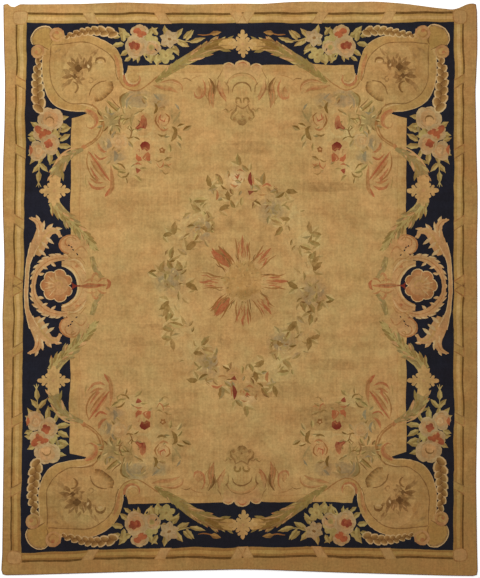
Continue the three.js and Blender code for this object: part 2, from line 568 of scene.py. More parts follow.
def draw_reed_ties(cartoon, sizes):
    """Slanting ribbons tied round the reed, and a pad at each of its corners."""
    reed_x, reed_y = sizes.reed_x / CM, sizes.reed_y / CM
    depth = reed_x - sizes.border_x / CM
    cartoon.copies = ALL_CORNERS
    for y in (0.4, 39, 84, 128):
        tie = places(
            (reed_x + 0.6, y + 1), (reed_x + 0.6, y + 6.4), (reed_x - depth, y + 2.4),
            (reed_x - depth, y - 3),
        )
        cartoon.area(tie, "reed", 0.85, 0.98)
        cartoon.band(tie[1:3], 0.7, "madder", 0.7)
        cartoon.band([tie[3], tie[0]], 0.7, "umber", 0.6)
        cartoon.band([tie[1] - 0.4, tie[0] - 0.4], 0.8, "madder", 0.5)
    for x in (1, 49, 94):
        tie = places(
            (x, reed_y + 0.6), (x + 6.4, reed_y + 0.6), (x + 2.4, reed_y - depth), (x - 4, reed_y - depth),
        )
        cartoon.area(tie, "bisque", 0.2, 1.0)
        cartoon.band(tie[1:3], 0.6, "madder", 0.35)
        cartoon.band([tie[3], tie[0]], 0.6, "madder", 0.4)
    corner = complex(reed_x - 2.0, reed_y - 2.6)
    pad = [corner + offset for offset in places((-3.6, -3.6), (3.4, -4.0), (3.8, 3.4), (-3.8, 3.8))]
    cartoon.area(smooth(pad, 1.6, closed=True), "madder", 0.55)
    pad = [corner + 0.86 * (p - corner) for p in pad]
    cartoon.area(smooth(pad, 1.6, closed=True), "bisque", 0.4, 0.97)


def draw_frame_line(cartoon):
    """The thin line round the field, which runs into the scrolls of the corner panels."""
    cartoon.copies = ALL_CORNERS
    top = places(
        (77.2, 130.5), (74.5, 126.8), (69.8, 124.7), (65.3, 124.9), (59.4, 128.5), (54, 132.6), (48, 135.4),
    )
    cartoon.band(top, 0.8, "madder", 0.75)
    cartoon.band(places((48, 135.6), (20, 136)), 0.5, "madder", 0.35, step=5)
    side = places((89.5, 109.5), (88.5, 104.3), (89.5, 99.7), (92.1, 94.5), (98, 89.9), (101.9, 87.3))
    cartoon.band(side, 1.1, "madder", 0.75)
    cartoon.area(lobed(complex(99.6, 88.6), 1.7, 4, 0.3), "pink", 0.8)
    cartoon.band(places((101.9, 87.3), (102, 28)), 0.5, "madder", 0.3, step=5)


TOP_LOBE = places(
    (117.5, 157.4), (112, 157.2), (104.5, 158.2), (96.5, 157.9), (89.6, 155.6), (84.2, 152), (80.8, 147.8),
    (78.6, 143), (77.5, 138.6), (77, 134.2), (76, 130.2), (73, 127), (69.3, 126), (66.2, 127.4), (65, 130),
)  # fmt: skip
TOP_WIDTHS = (3.2, 3.6, 4.4, 5.0, 5.0, 5.0, 5.0, 4.8, 4.8, 4.6, 3.4, 2.4, 2.0, 1.7, 1.2)
SIDE_LOBE = places(
    (123.4, 152.6), (123.9, 147), (123.9, 140), (123.7, 133), (122.4, 126.6), (120, 121.2), (116.1, 117.3),
    (110.5, 115), (104.5, 113.8), (99, 113.2), (94.6, 111.6), (91.2, 108.5), (90.2, 104.5), (91.4, 101),
    (94, 99.6),
)  # fmt: skip
SIDE_WIDTHS = (3.4, 4.2, 4.2, 4.6, 5.0, 5.0, 5.0, 5.0, 4.8, 4.4, 3.4, 2.4, 2.0, 1.7, 1.2)


def draw_panel_ground(cartoon):
    """The ground of the corner panels, a little browner at the outer corner."""
    cartoon.copies = ALL_CORNERS
    cartoon.area(places((79, 141), (71.8, 141), (72.4, 138), (73.6, 134), (75.4, 132.4), (79, 136)), "navy")
    cartoon.area(places((108.4, 106.6), (103.4, 108), (98.2, 109.6), (98.8, 113), (108.4, 114)), "navy")
    panel = [complex(121, 155), *TOP_LOBE[1:12], complex(70, 115), *SIDE_LOBE[1:12][::-1]]
    cartoon.area(panel, "ochre", 0.5, 1.0, ("ochre", 0.0), (complex(121, 155), complex(76, 118)))


def draw_corner_panel(cartoon):
    """The scrolled panel that fills each corner of the border, with its rolled bands."""
    cartoon.copies = ALL_CORNERS
    cartoon.band(
        [p + complex(0.2, 0.35) for p in TOP_LOBE[:11]], [w + 0.4 for w in TOP_WIDTHS[:11]], "cream", 0.5,
    )
    cartoon.band(
        [p + complex(0.35, -0.1) for p in SIDE_LOBE[:11]], [w + 0.4 for w in SIDE_WIDTHS[:11]], "cream",
        0.5,
    )
    cartoon.band(TOP_LOBE, TOP_WIDTHS, "gold", 0.85, 0.97)
    cartoon.band(SIDE_LOBE, SIDE_WIDTHS, "gold", 0.85, 0.94)
    cartoon.area(
        places((114, 160), (120, 160), (125, 156), (125, 150), (120.6, 149), (113, 154)), "gold", 0.8,
    )
    inner_top = places(
        (121, 154), (116.4, 154.4), (108, 155.5), (100, 156), (94.2, 155), (89.3, 152.2), (84.8, 148.5),
        (81.7, 144.5), (80, 139.8), (79.3, 134.6), (77.8, 130.5),
    )  # fmt: skip
    inner_side = places(
        (121.4, 154), (121.2, 148), (121.6, 141), (121.6, 136), (121.2, 130.5), (119.2, 125.7), (116, 121.5),
        (111.7, 118.3), (107.5, 116.4), (100, 116.2), (95.2, 115.1), (91.5, 112.5), (89.5, 109.5),
    )  # fmt: skip
    cartoon.band(inner_top, (0.7, 0.6, 0.8), "umber", 0.75, 1.06)
    cartoon.band(inner_side, (0.7, 0.6, 0.8), "umber", 0.75, 1.06)
    curl = places(
        (94.4, 115.6), (91, 111.4), (87.6, 104.6), (88, 98.8), (91.6, 93.3), (99, 88), (105.5, 87.6),
    )
    cartoon.band(curl, (0.5, 0.8, 1.0, 0.9, 0.7, 0.9, 0.5), "madder", 0.75)
    cartoon.band(places((81.4, 148), (78.8, 142), (78, 136), (77.2, 131)), (0.3, 2.6, 1.8, 0.3), "pink", 0.7)
    hook = places((74.6, 134.4), (73.6, 130), (70.6, 127.6), (67, 128.4), (64.8, 131), (65.2, 134.2))
    cartoon.band(hook, (1.2, 2.2, 2.0, 1.6, 1.0, 0.3), "rose", 0.7)
    cartoon.band([p + complex(-0.9, 1.2) for p in hook[:4]], (0.3, 0.8, 0.3), "cream", 0.5)
    cartoon.area(oval(complex(69, 133), 3.2, 1, 0, 14), "gold", 0.5)
    cartoon.band(arc(complex(68.6, 133), 3.0, 150, 330, 7), (0.3, 0.6, 0.3), "madder", 0.6)
    cartoon.band(places((60, 137.4), (68, 137.6), (72, 136)), (0.2, 0.5, 0.2), "madder", 0.4)
    hook = places((98.6, 112), (94, 109.6), (91.8, 106), (92.4, 102.6), (95.4, 100.6), (98, 101.4))
    cartoon.band(hook, (0.8, 2.4, 2.6, 1.6, 1.0, 0.4), "rose", 0.7)
    cartoon.band([p + complex(1.4, -0.6) for p in hook[0:4]], (0.3, 1.6, 1.0, 0.3), "pink", 0.6)
    cartoon.band(arc(complex(96.4, 103.4), 2.6, 200, 380, 6), (0.3, 0.6, 0.3), "madder", 0.5)


PANEL_LEAVES = (
    # x, y, angle, length, width, strength
    (103.6, 139.4, 158, 8.2, 3.2, 0.95), (104, 139.6, 125, 8, 2.8, 0.85), (103.2, 139, 190, 7.0, 3.2, 1.0),
    (103.4, 139.8, 92, 6.6, 2.4, 0.85), (102.8, 138.6, 222, 5.8, 2.6, 0.9), (102.6, 139.8, 60, 5.0, 2.4, 0.7),
    (102, 139, 15, 5.0, 2.2, 0.7), (97.8, 138.6, 102, 8.0, 3.0, 0.95), (97.4, 138.6, 74, 7.0, 2.2, 0.8),
    (98.4, 139, 140, 5.6, 2.2, 0.85), (94.8, 143.4, 255, 7.4, 2.8, 1.0), (95.4, 142, 82, 5.6, 2.0, 0.8),
    (94.6, 141, 20, 4.6, 2.0, 0.6), (106.6, 134, 192, 8.0, 3.0, 1.0), (106, 133.4, 160, 7.2, 2.8, 0.95),
    (104.6, 133, -8, 6.4, 2.8, 0.9), (105.4, 132, -34, 6.4, 2.6, 0.85), (106.8, 132, 222, 7.0, 2.8, 0.9),
    (109.6, 131.6, 240, 9.0, 2.0, 0.65), (110.8, 130, 225, 7.0, 1.8, 0.55),
    (114.4, 151.6, 215, 6.4, 1.8, 0.5),
    (112, 148.4, 235, 5.4, 1.5, 0.45), (111.4, 150, 250, 4.6, 1.2, 0.4), (93.4, 146.4, 60, 7.0, 1.6, 0.6),
    (100.6, 144.4, 120, 5.2, 1.7, 0.6), (91, 132.2, 205, 3.6, 1.2, 0.4), (96, 147, 40, 8.0, 1.2, 0.45),
    (108.6, 136.6, 170, 6.0, 2.0, 0.7), (105, 135.6, 20, 5.6, 2.0, 0.6), (100, 137, 250, 6, 2, 0.6),
)  # fmt: skip


def draw_panel_leaves(cartoon):
    """The brown, much faded sprig inside a corner panel, and the fringed shell at its mouth."""
    cartoon.copies = ALL_CORNERS
    cartoon.glow(complex(104.6, 138), 9, 0.9, "ochre", 0.7)
    cartoon.glow(complex(97, 141), 6, 1.1, "ochre", 0.5)
    for x, y, angle, length, width, strength in PANEL_LEAVES:
        base = complex(x, y)
        tip = base + length * direction(180 - angle)
        outline = lens(base, tip, 0.5 * width, 0.5 * width)
        cartoon.area(outline, "umber", strength, 1.0, ("umber", 0.6 * strength), (base, tip))
    cartoon.area(lobed(complex(103.2, 139), 2.6, 4, 0.3), "umber", 0.95, 0.68)
    cartoon.area(lobed(complex(105.6, 133.4), 1.8, 4, 0.3), "umber", 0.9, 0.75)
    cartoon.area(lobed(complex(96, 142.4), 1.5, 4, 0.3), "umber", 0.8, 0.8)
    for base, tip in (
        ((105, 141.6), (108, 144)), ((102, 141.4), (102.6, 145)), ((99.4, 141), (98.2, 145.6)),
        ((106, 134), (109.6, 135.6)),
    ):
        cartoon.area(lens(complex(*base), complex(*tip), 0.35, 0.3, 3), "bisque", 0.8)
    cartoon.area(oval(complex(96.6, 140.2), 1.3, 0.5, 70, 6), "cream", 0.8)
    cartoon.band(arc(complex(89.2, 142.6), 2.9, -10, 190, 7), (0.6, 1.9, 0.6), "umber", 0.85)
    cartoon.area(oval(complex(89.4, 142.4), 1.6, 0.5, 0, 8), "cream", 0.4)
    cartoon.band(arc(complex(106.6, 126.4), 3.5, 90, 250, 7), (0.5, 1.8, 0.6), "umber", 0.85)
    cartoon.band(places((104.6, 128.6), (103.8, 126.6), (104.8, 124.4)), (0.3, 0.8, 0.3), "ochre", 0.7)
    cartoon.scroll(complex(95.2, 131), 2.1, 90, 330, "umber", 0.8, 0.5)
    cartoon.band(
        places((95.6, 121.4), (94.2, 125.8), (90.4, 129.4), (85.2, 130.4)), (0.5, 1.0, 0.5), "umber", 0.8,
    )
    fringe = places((81.6, 129.6), (80.8, 125), (83.8, 121), (88.2, 117.6), (91.8, 117))
    for k, point in enumerate(smooth(fringe, 1.0)):
        inward = complex(94, 129) - point
        inward /= abs(inward)
        side = 0.55j * inward
        strand = [
            point + side, point + 4.4 * inward + 0.7 * side, point + 4.4 * inward - 0.7 * side,
            point - side,
        ]
        shade = (0.85, 1.0, 1.25)[k % 3]
        cartoon.area(
            strand, "umber", 0.95, shade, ("ochre", 0.15), (point + 0.6 * inward, point + 4.4 * inward),
        )


def draw_corner_horns(cartoon):
    """The palmette at the very corner, its two volutes, and the plaited horns that they end in."""
    cartoon.copies = ALL_CORNERS
    side = places(
        (128.4, 146), (129.5, 139.6), (130, 134.8), (130.1, 129.4), (129.6, 124.1), (129, 118.3),
        (127.4, 112.6),
    )
    cartoon.rope(side, (3.4, 5.0, 6.0, 6.8, 7.4, 8.0, 8.2), 7)
    top = places(
        (113.6, 159), (110.6, 160), (105.3, 161.4), (100, 162.6), (94.7, 163.4), (89.4, 163.6),
        (80.6, 162.2),
    )
    cartoon.rope(top, (2.4, 3.6, 4.6, 5.2, 6.0, 6.6, 7.0), 8)
    cartoon.area(
        places(
            (112, 158.4), (113, 164), (119.4, 166), (121.8, 160), (125, 155.6), (132, 152), (130, 146),
            (124.6, 147), (122.8, 154.6), (119, 158),
        ),
        "ground", 1.0,
    )
    tip = places(
        (118.8, 158.6), (119.6, 163), (122.6, 166), (127, 166), (131, 163.8), (133, 160.6), (133.8, 157),
        (132.6, 154.2), (129, 153.8), (124, 151.6), (121, 153.4),
    )  # fmt: skip
    pale = places(
        (119.2, 163.2), (122.4, 166.6), (127.2, 166.6), (131.4, 164.2), (133.6, 160.8), (134.4, 157),
        (133, 153.8),
    )
    cartoon.area(smooth(tip, 1.6, closed=True), "reed", 1.0, 0.96)
    cartoon.band(pale, (0.4, 0.8, 0.8, 0.7, 0.4), "cream", 0.9, step=2)
    inner = [complex(125, 158) + 0.87 * (p - complex(125, 158)) for p in pale]
    cartoon.band(inner, (0.2, 0.6, 0.7, 0.5, 0.2), "umber", 0.45, step=2)
    cartoon.band(
        places((121.6, 164.6), (121.6, 160.4), (120.6, 156.6), (121.8, 154)), (0.4, 0.9, 0.8, 0.3), "umber",
        0.75,
    )
    cartoon.band(
        places((133.2, 154), (129.4, 154), (125.4, 152), (122.6, 150.4)), (0.4, 0.9, 0.8, 0.3), "umber",
        0.75,
    )
    cartoon.volute(complex(117.4, 161.4), 4.8, 200)
    cartoon.volute(complex(130, 149.6), 4.5, 80)


def draw_end_bouquet(cartoon):
    """Roses, blossoms and leaves in the border at both ends."""
    cartoon.copies = ALL_CORNERS
    leaves = (
        (73, 160, 130, 8, 5), (71, 160, 165, 8, 5), (75, 157, 95, 6, 4), (76, 154.6, 190, 7, 4),
        (72, 150.4, 215, 7, 4), (61.6, 150.2, 300, 9.8, 4.8), (57, 150, 280, 7, 4),
        (60.4, 161.4, 35, 8.4, 4), (59.6, 158.6, 70, 8, 3.6), (48.4, 161.4, 100, 6.6, 3.8),
        (43, 159, 50, 8.2, 4.2), (37, 159, 45, 7.6, 3.2), (41, 156.6, -28, 8, 4),
        (43.6, 153.4, -62, 7.4, 4), (53.4, 147.4, -92, 8, 4.4), (50, 145.4, -140, 6, 3.6),
        (65, 147.8, 262, 5.6, 2.6), (71, 145.6, 215, 4.4, 3), (56, 155, 205, 6, 4),
        (52.6, 154.4, 150, 6, 4), (54.4, 161.4, 120, 6, 3.4), (45.4, 151.4, -20, 6, 3.4),
        (66, 148.6, 240, 6, 3.6), (78, 159.4, 170, 5.4, 3.4), (56, 147.4, 250, 6, 3.4),
    )  # fmt: skip
    for x, y, angle, length, width in leaves:
        at = complex(x, y)
        ahead = direction(180 - angle)
        cartoon.leaf(at - ahead, at + ahead * length, width, "leaf", "leaf_shade", 1.0, 1)
    cartoon.area(lobed(complex(58.4, 156.4), 5.4, 5, 0.3, 10), "leaf", 1.0, 0.92)
    cartoon.foliage(complex(54, 155), 8, 0.7, 6, 4.8, 1.0)
    cartoon.rose(complex(56.8, 152), 5.2, "bisque", "leaf", "leaf_shade", turn=40)
    cartoon.rose(complex(64.6, 162.6), 5.4, "bisque", "rose", "rose", turn=20)
    for x, y, turn in ((62.4, 161.6, 20), (66.4, 163.6, 150), (64.2, 159.8, 80)):
        cartoon.area(
            oval(complex(x, y), 2.4, 0.7, turn, 9), "rose", 1.0, 1.08, ("crimson", 0.9),
            (complex(x, y), complex(x, y - 5)),
        )
    cartoon.rose(complex(67.2, 152.8), 7.4, turn=150)
    cartoon.area(
        lobed(complex(69, 153.8), 2.9, 4, 0.3, 20), "crimson", 0.9, 1.1, ("rose", 1),
        (complex(69, 154), complex(66, 152)),
    )
    cartoon.blossom(complex(46.4, 158.4), 6.8, 6, shade=0.84, turn=20)
    cartoon.blossom(complex(48.4, 147), 5.6, 5, "leaf", "leaf_shade", shade=1.1, turn=50, round_petals=True)
    for x, y in ((54.6, 150.8), (52.6, 157.6), (60.2, 146.4)):
        cartoon.area(oval(complex(x, y), 1.0, 0.5, 60, 6), "navy")
    cartoon.band(places((42, 158.4), (36, 156.6), (31, 156.8), (26, 158)), (0.7, 0.6, 0.5), "leaf")
    cartoon.leaf(complex(33.4, 155.8), complex(23, 158.8), 3.6, teeth=2)
    cartoon.leaf(complex(36, 157), complex(30.4, 164), 3.2, teeth=2)
    cartoon.leaf(complex(39, 156.4), complex(33.4, 152.8), 3.0, teeth=1)
    cartoon.band(places((28, 161), (23, 160.6), (19.4, 161.4)), (0.4, 0.9, 0.6), "madder")
    cartoon.leaf(complex(20.6, 161.4), complex(13.4, 162.6), 3.4, "ochre", "umber", 1.0, 0)


def draw_side_bouquet(cartoon):
    """Roses, buds and leaves in the border along both sides."""
    cartoon.copies = ALL_CORNERS
    leaves = (
        (128.6, 101, 150, 6.4, 4), (130, 96.4, 185, 6, 4.4), (131.6, 92.6, 160, 5, 3.4),
        (116.4, 106.6, 12, 7, 3.8), (115.6, 102.6, -14, 7.4, 3.8), (114, 98.6, 22, 6.6, 3.8),
        (114.4, 93, 30, 7.4, 4), (115, 89.4, -4, 8, 4), (117.6, 87, -62, 9, 3),
        (121.6, 86.4, -88, 9.6, 4.2), (129.6, 84.4, -125, 8.4, 3.8), (127.8, 77.4, -132, 7, 3.4),
        (127, 77.6, -48, 7, 3.4), (124.8, 87, -105, 7, 3.6), (119.6, 95.4, 0, 6, 4),
        (131.4, 84.6, -160, 5, 3.2), (118.4, 91.6, -30, 6, 3.4), (127.6, 84, -90, 6.4, 3.6),
        (119, 104, -40, 6, 3.6),
    )  # fmt: skip
    for x, y, angle, length, width in leaves:
        at = complex(x, y)
        ahead = direction(180 - angle)
        cartoon.leaf(at - ahead, at + ahead * length, width, "leaf", "leaf_shade", 1.0, 1)
    cartoon.area(lobed(complex(121.4, 97), 6.4, 6, 0.25), "leaf", 1.0, 0.96)
    cartoon.foliage(complex(121, 95), 7, 1.2, 6, 4.6, 1.0)
    cartoon.rose(complex(121.6, 106.6), 8.0, "bisque", "bisque", "bisque", turn=210)
    cartoon.area(lobed(complex(122.6, 104.6), 3.2, 5, 0.25), "bisque", 0.9, 1.1)
    cartoon.band(arc(complex(122, 105.2), 2.7, 10, 200, 6), (0.4, 1.1, 0.4), "umber", 0.8)
    cartoon.rose(complex(129.4, 86), 6.2, "bisque", "cream", "bisque", turn=150)
    cartoon.area(lens(complex(134.8, 89.6), complex(134.2, 83.2), 0.4, 1.8), "rose", 0.95)
    cartoon.rose(complex(121, 90.4), 6.4, "bisque", "bisque", "bisque", turn=100)
    cartoon.area(
        lobed(complex(122.4, 91), 3.1, 4, 0.3, 20), "crimson", 0.9, 1.2, ("rose", 1),
        (complex(122, 89), complex(122, 94)),
    )
    cartoon.rose(complex(126.4, 97.6), 6.0, "bisque", "rose", "rose", turn=40)
    for x, y, turn, size in (
        (129, 99.6, 50, 3.2), (125.2, 97.8, 120, 2.8), (122.6, 98, 10, 2.2), (127.6, 95.6, 90, 1.8),
    ):
        cartoon.area(
            oval(complex(x, y), size, 0.68, turn, 10), "rose", 1.0, 1.02, ("crimson", 0.9),
            (complex(x, y), complex(x, y + 4)),
        )
    cartoon.area(oval(complex(126.8, 99.4), 1.2, 0.5, 20, 6), "bisque", 0.8)
    cartoon.band(places((128.6, 80), (128.2, 76), (128.2, 72)), (0.8, 0.6, 0.5), "leaf")
    cartoon.leaf(complex(128.2, 73.4), complex(128.6, 65.4), 3.6, "leaf", "leaf_shade", 1.0, 0)
    for angle in (-120, -90, -58):
        cartoon.band([complex(128.5, 66), complex(128.5, 66) + 3.2 * direction(angle)], (0.8, 0.3), "leaf")


def draw_garlands(cartoon):
    """The leafy swags that cross the border, and the crosses that clasp them."""
    cartoon.copies = ALL_CORNERS
    end = places(
        (55, 129.4), (50, 133.6), (43.6, 138.4), (37, 142.8), (30, 147), (23.2, 150.8), (16.4, 153.6),
        (7, 154.6),
    )
    cartoon.garland(end, (2.4, 4.8, 6.6, 7.8, 8.8, 9.2, 8.4, 8.0), 1.0, "leaf_shade")
    cartoon.band(places((24, 151), (16, 153.8), (7, 154.6)), (1, 7.2, 7.6), "olive", 0.95, 1.05)
    cartoon.band(places((15, 153.8), (11, 154.4), (6, 154.6)), (1, 6.6, 7.4), "gold", 0.95, 0.99)
    for line, width, yarn, strength in (
        (((25, 153.6), (18, 157), (9, 158)), 1.1, "umber", 0.85),
        (((22, 150.6), (15, 153), (9, 153.4)), 0.9, "umber", 0.7),
        (((27, 147.6), (20, 150), (12, 151)), 1.1, "bisque", 0.8),
        (((24, 152.4), (17, 155.2), (11, 155.8)), 0.9, "olive", 0.8),
        (((31, 149.4), (25, 153), (20, 155)), 1.2, "umber", 0.7),
        (((29, 145.4), (23, 148.6), (16, 150)), 0.9, "leaf_shade", 0.9),
    ):  # fmt: skip
        cartoon.stroke(places(*line), width, yarn, strength)
    side = places((100, 87), (106.4, 84.4), (112, 81), (116, 75.6), (118, 68.6))
    cartoon.garland(side, (2.4, 4.8, 7.6, 8.6, 8.6))
    cartoon.band(
        places((104, 88), (110, 86.4), (115.4, 82), (119.8, 76)), (0.3, 1.2, 1.4, 0.4), "bisque", 0.85,
        step=2.4,
    )
    inward = places((118.4, 54), (115.2, 48.6), (109.6, 43.4), (104, 37.8), (97.6, 30.6), (91.4, 22.8))
    cartoon.garland(inward, (8.2, 8.6, 8.0, 7.2, 6.4, 2.8), 1.0, "leaf", 0.93)
    cartoon.garland(places((94.6, 18.6), (92.4, 11.6), (88.2, 5)), (3.4, 4.4, 2.4), 0.85)
    cartoon.copies = BOTH_ENDS
    cartoon.clasp(complex(0.4, 154.8), 9.2, (90, 270, 0, 180))
    cartoon.copies = ALL_CORNERS
    cartoon.band(places((118, 69), (118, 61), (118, 53)), (7.6, 6.0, 7.6), "ground", 1.0, 1.0)
    cartoon.clasp(complex(118, 60.6), 9.8, (0, 180, 90, 270))


def draw_side_scrolls(cartoon):
    """The scrolls, acanthus leaves and shell in the middle of each long side."""
    centre = complex(115.8, 0.3)
    cartoon.copies = BOTH_SIDES
    cartoon.area(oval(centre, 16.5, 0.98, 0, 28), "navy")
    opening = places((104, -21), (96, -20), (96, 20), (104, 21), (111, 17))
    cartoon.area([*arc(centre, 12.4, 102, 258, 16), complex(111, -17), *opening], "ground", 0.0)
    cartoon.copies = ALL_CORNERS
    inner = places((113.4, 14.4), (107, 13.8), (102, 9.6), (99.8, 3.4), (99.6, 0))
    cartoon.band(inner, (2.6, 4.6, 5.2, 5.0), "bisque", 0.7)
    cartoon.band(arc(centre, 12.9, 100, 180, 8), (0.7, 1.0, 1.0, 0.7), "cream", 0.8)
    cartoon.band(beside(smooth(inner, 2), 1.9), (0.2, 0.6, 0.2), "pink", 0.6)
    cartoon.area(oval(complex(103.2, 13), 2.0, 0.6, -30), "rose", 0.6)
    tall = places((131.6, 24), (128.6, 31), (127.4, 36.4), (129.4, 41), (134.4, 43))
    cartoon.acanthus(tall, (5.4, 5.4, 4.8, 3.8, 0.6), 6, (1,), "bisque", "cream", "pink")
    droop = places((129.4, 20), (127, 26), (123.6, 32), (119.4, 35), (115.8, 34.2), (114.6, 30.4))
    cartoon.acanthus(droop, (4.6, 7.2, 7.6, 5.6, 3.8, 1.2), 7, (-1,), "bisque", "cream", "gold")
    for place in places((126.6, 22), (124.6, 26.4), (121.4, 29)):
        cartoon.area(lens(place + complex(2, 2), place + complex(-3.4, -2.6), 1.2, 1.0), "cream", 0.9, 0.9)
    outer = places((130.6, 27), (133, 21), (134.6, 15), (135.1, 8), (135.1, -0.5))
    cartoon.band(outer, (6.0, 4.2, 3.0, 2.6, 2.6), "cream", 0.9)
    cartoon.band(outer, (5.0, 3.2, 2.0, 1.7, 1.7), "bisque", 1.0, 0.94)
    cartoon.area(oval(complex(108.2, 26.4), 6.4, 1.1, 70, 16), "pink", 0.8, 1.05)
    cartoon.area(oval(complex(107.7, 26.2), 5.7, 1.1, 70, 16), "bisque", 0.9, 1.02)
    cartoon.area(places((110, 19), (103, 14), (97, 19), (98, 30), (105.4, 24)), "bisque", 0.45)
    cartoon.scroll(complex(108.2, 27), 4.6, 150, -300, "pink", 0.9, 0.7)
    cartoon.scroll(complex(105.4, 30), 2.4, 120, -280, "madder", 0.6, 0.55)
    for place in places((108.8, 25.4), (107.2, 24.4), (106.2, 22.6), (103.6, 19.8)):
        cartoon.area(oval(place, 0.8, 0.55, 40, 6), "navy")
    scroll = places((109.4, 17.4), (115.6, 17.8), (122.4, 15.8), (127.6, 11), (130.4, 5.4), (131, -0.4))
    cartoon.acanthus(scroll, (2.4, 3.6, 4.6, 4.2, 3.0, 2.2), 9, (1,), "bisque", "cream", "pink")
    for place, turn in zip(places((124.8, 12.2), (127.2, 7.4), (119.4, 14.6)), (205, 170, 220)):
        cartoon.leaf(
            place + direction(turn + 180), place + 3.2 * direction(turn), 2.0, "cream", "bisque", 1.0, 0,
        )
    cartoon.band(places((106, 21), (100.6, 25), (97, 20.6)), (0.3, 1.2, 0.3), "pink", 0.5)
    cartoon.band(
        places((112.4, 21.4), (106.6, 17.4), (101.6, 17.6), (98.4, 13.4)), (0.3, 0.7, 0.7, 0.3), "madder",
        0.5,
    )
    cartoon.feather(
        places((110, 15.6), (105.4, 16.2), (101.4, 13.4), (98, 8)), 3.2, "cream", "bisque", "pink", 0.8,
    )
    draw_side_shell(cartoon)


def draw_side_shell(cartoon):
    """The shell inside the scrolls, and the red dart that points from it into the field."""
    cartoon.copies = BOTH_SIDES
    centre = complex(115.8, 0.3)
    lobes = (
        (180, 6.8, 3.9), (132, 6.6, 3.9), (228, 6.6, 3.9), (80, 6.4, 3.9), (280, 6.4, 3.9), (30, 6.6, 3.0),
        (330, 6.6, 3.0),
    )
    flip = -1
    for angle, reach, radius in lobes:
        cartoon.area(oval(centre + flip * reach * direction(angle), radius + 0.5, 1, 0, 14), "cream")
    for angle, reach, radius in lobes:
        lobe = centre + flip * reach * direction(angle)
        rim_place = lobe + flip * radius * direction(angle)
        cartoon.area(oval(lobe, radius, 1, 0, 14), "bisque", 1.0, 1.0, ("pink", 0.9), (centre, rim_place))
    cartoon.area(oval(centre, 6.4, 0.96, 0, 20), "bisque", 1.0, 0.97)
    for angle in (150, 180, 210, 115, 245):
        rib = [centre + flip * r * direction(angle) for r in (1.5, 5, 8.4)]
        cartoon.band(rib, (0.2, 0.9, 0.2), "pink", 0.4)
        rib = [centre + flip * r * direction(angle + 14) for r in (3, 6, 8.8)]
        cartoon.band(rib, (0.2, 0.5, 0.2), "cream", 0.6)
    cartoon.scroll(centre - 0.4, 3.6, 30, 300, "gold", 0.9, 0.5)
    dart = places((107.6, 3.2), (105.4, 1.3), (103, 0.4), (105.4, -0.7), (107.6, -2.6), (106.6, 0.3))
    cartoon.area(dart, "crimson")
    cartoon.band(places((103.6, 0.4), (100.6, 0.3)), 1.1, "crimson", 0.85)
    cartoon.band(
        places((101.4, 0.3), (95.4, 0.4), (90, 0.3), (85.2, 0.4)), (1.0, 3.6, 2.4, 0.5), "rose", 0.75,
    )
    cartoon.band(places((101, 0.3), (95, 0.4), (89, 0.3)), (0.5, 1.4, 0.3), "crimson", 0.6)
    cartoon.band(places((85, 4.2), (83.4, 2), (83.8, -0.6), (85.4, -2.4)), (0.6, 2.2, 2.2, 0.6), "rose", 0.8)
    cartoon.copies = ALL_CORNERS
    cartoon.band(places((94.6, 3), (93.8, 6.4), (92, 8.6), (90.4, 6.6)), (0.6, 1.6, 1.4, 0.4), "rose", 0.5)
    cartoon.band(places((91, 2.4), (88, 4.8), (85.4, 4.6)), (0.5, 1.4, 0.4), "pink", 0.7)
    cartoon.band(places((99.4, 2.4), (95, 4.6), (91, 3.4)), (0.3, 1.4, 0.4), "pink", 0.5)


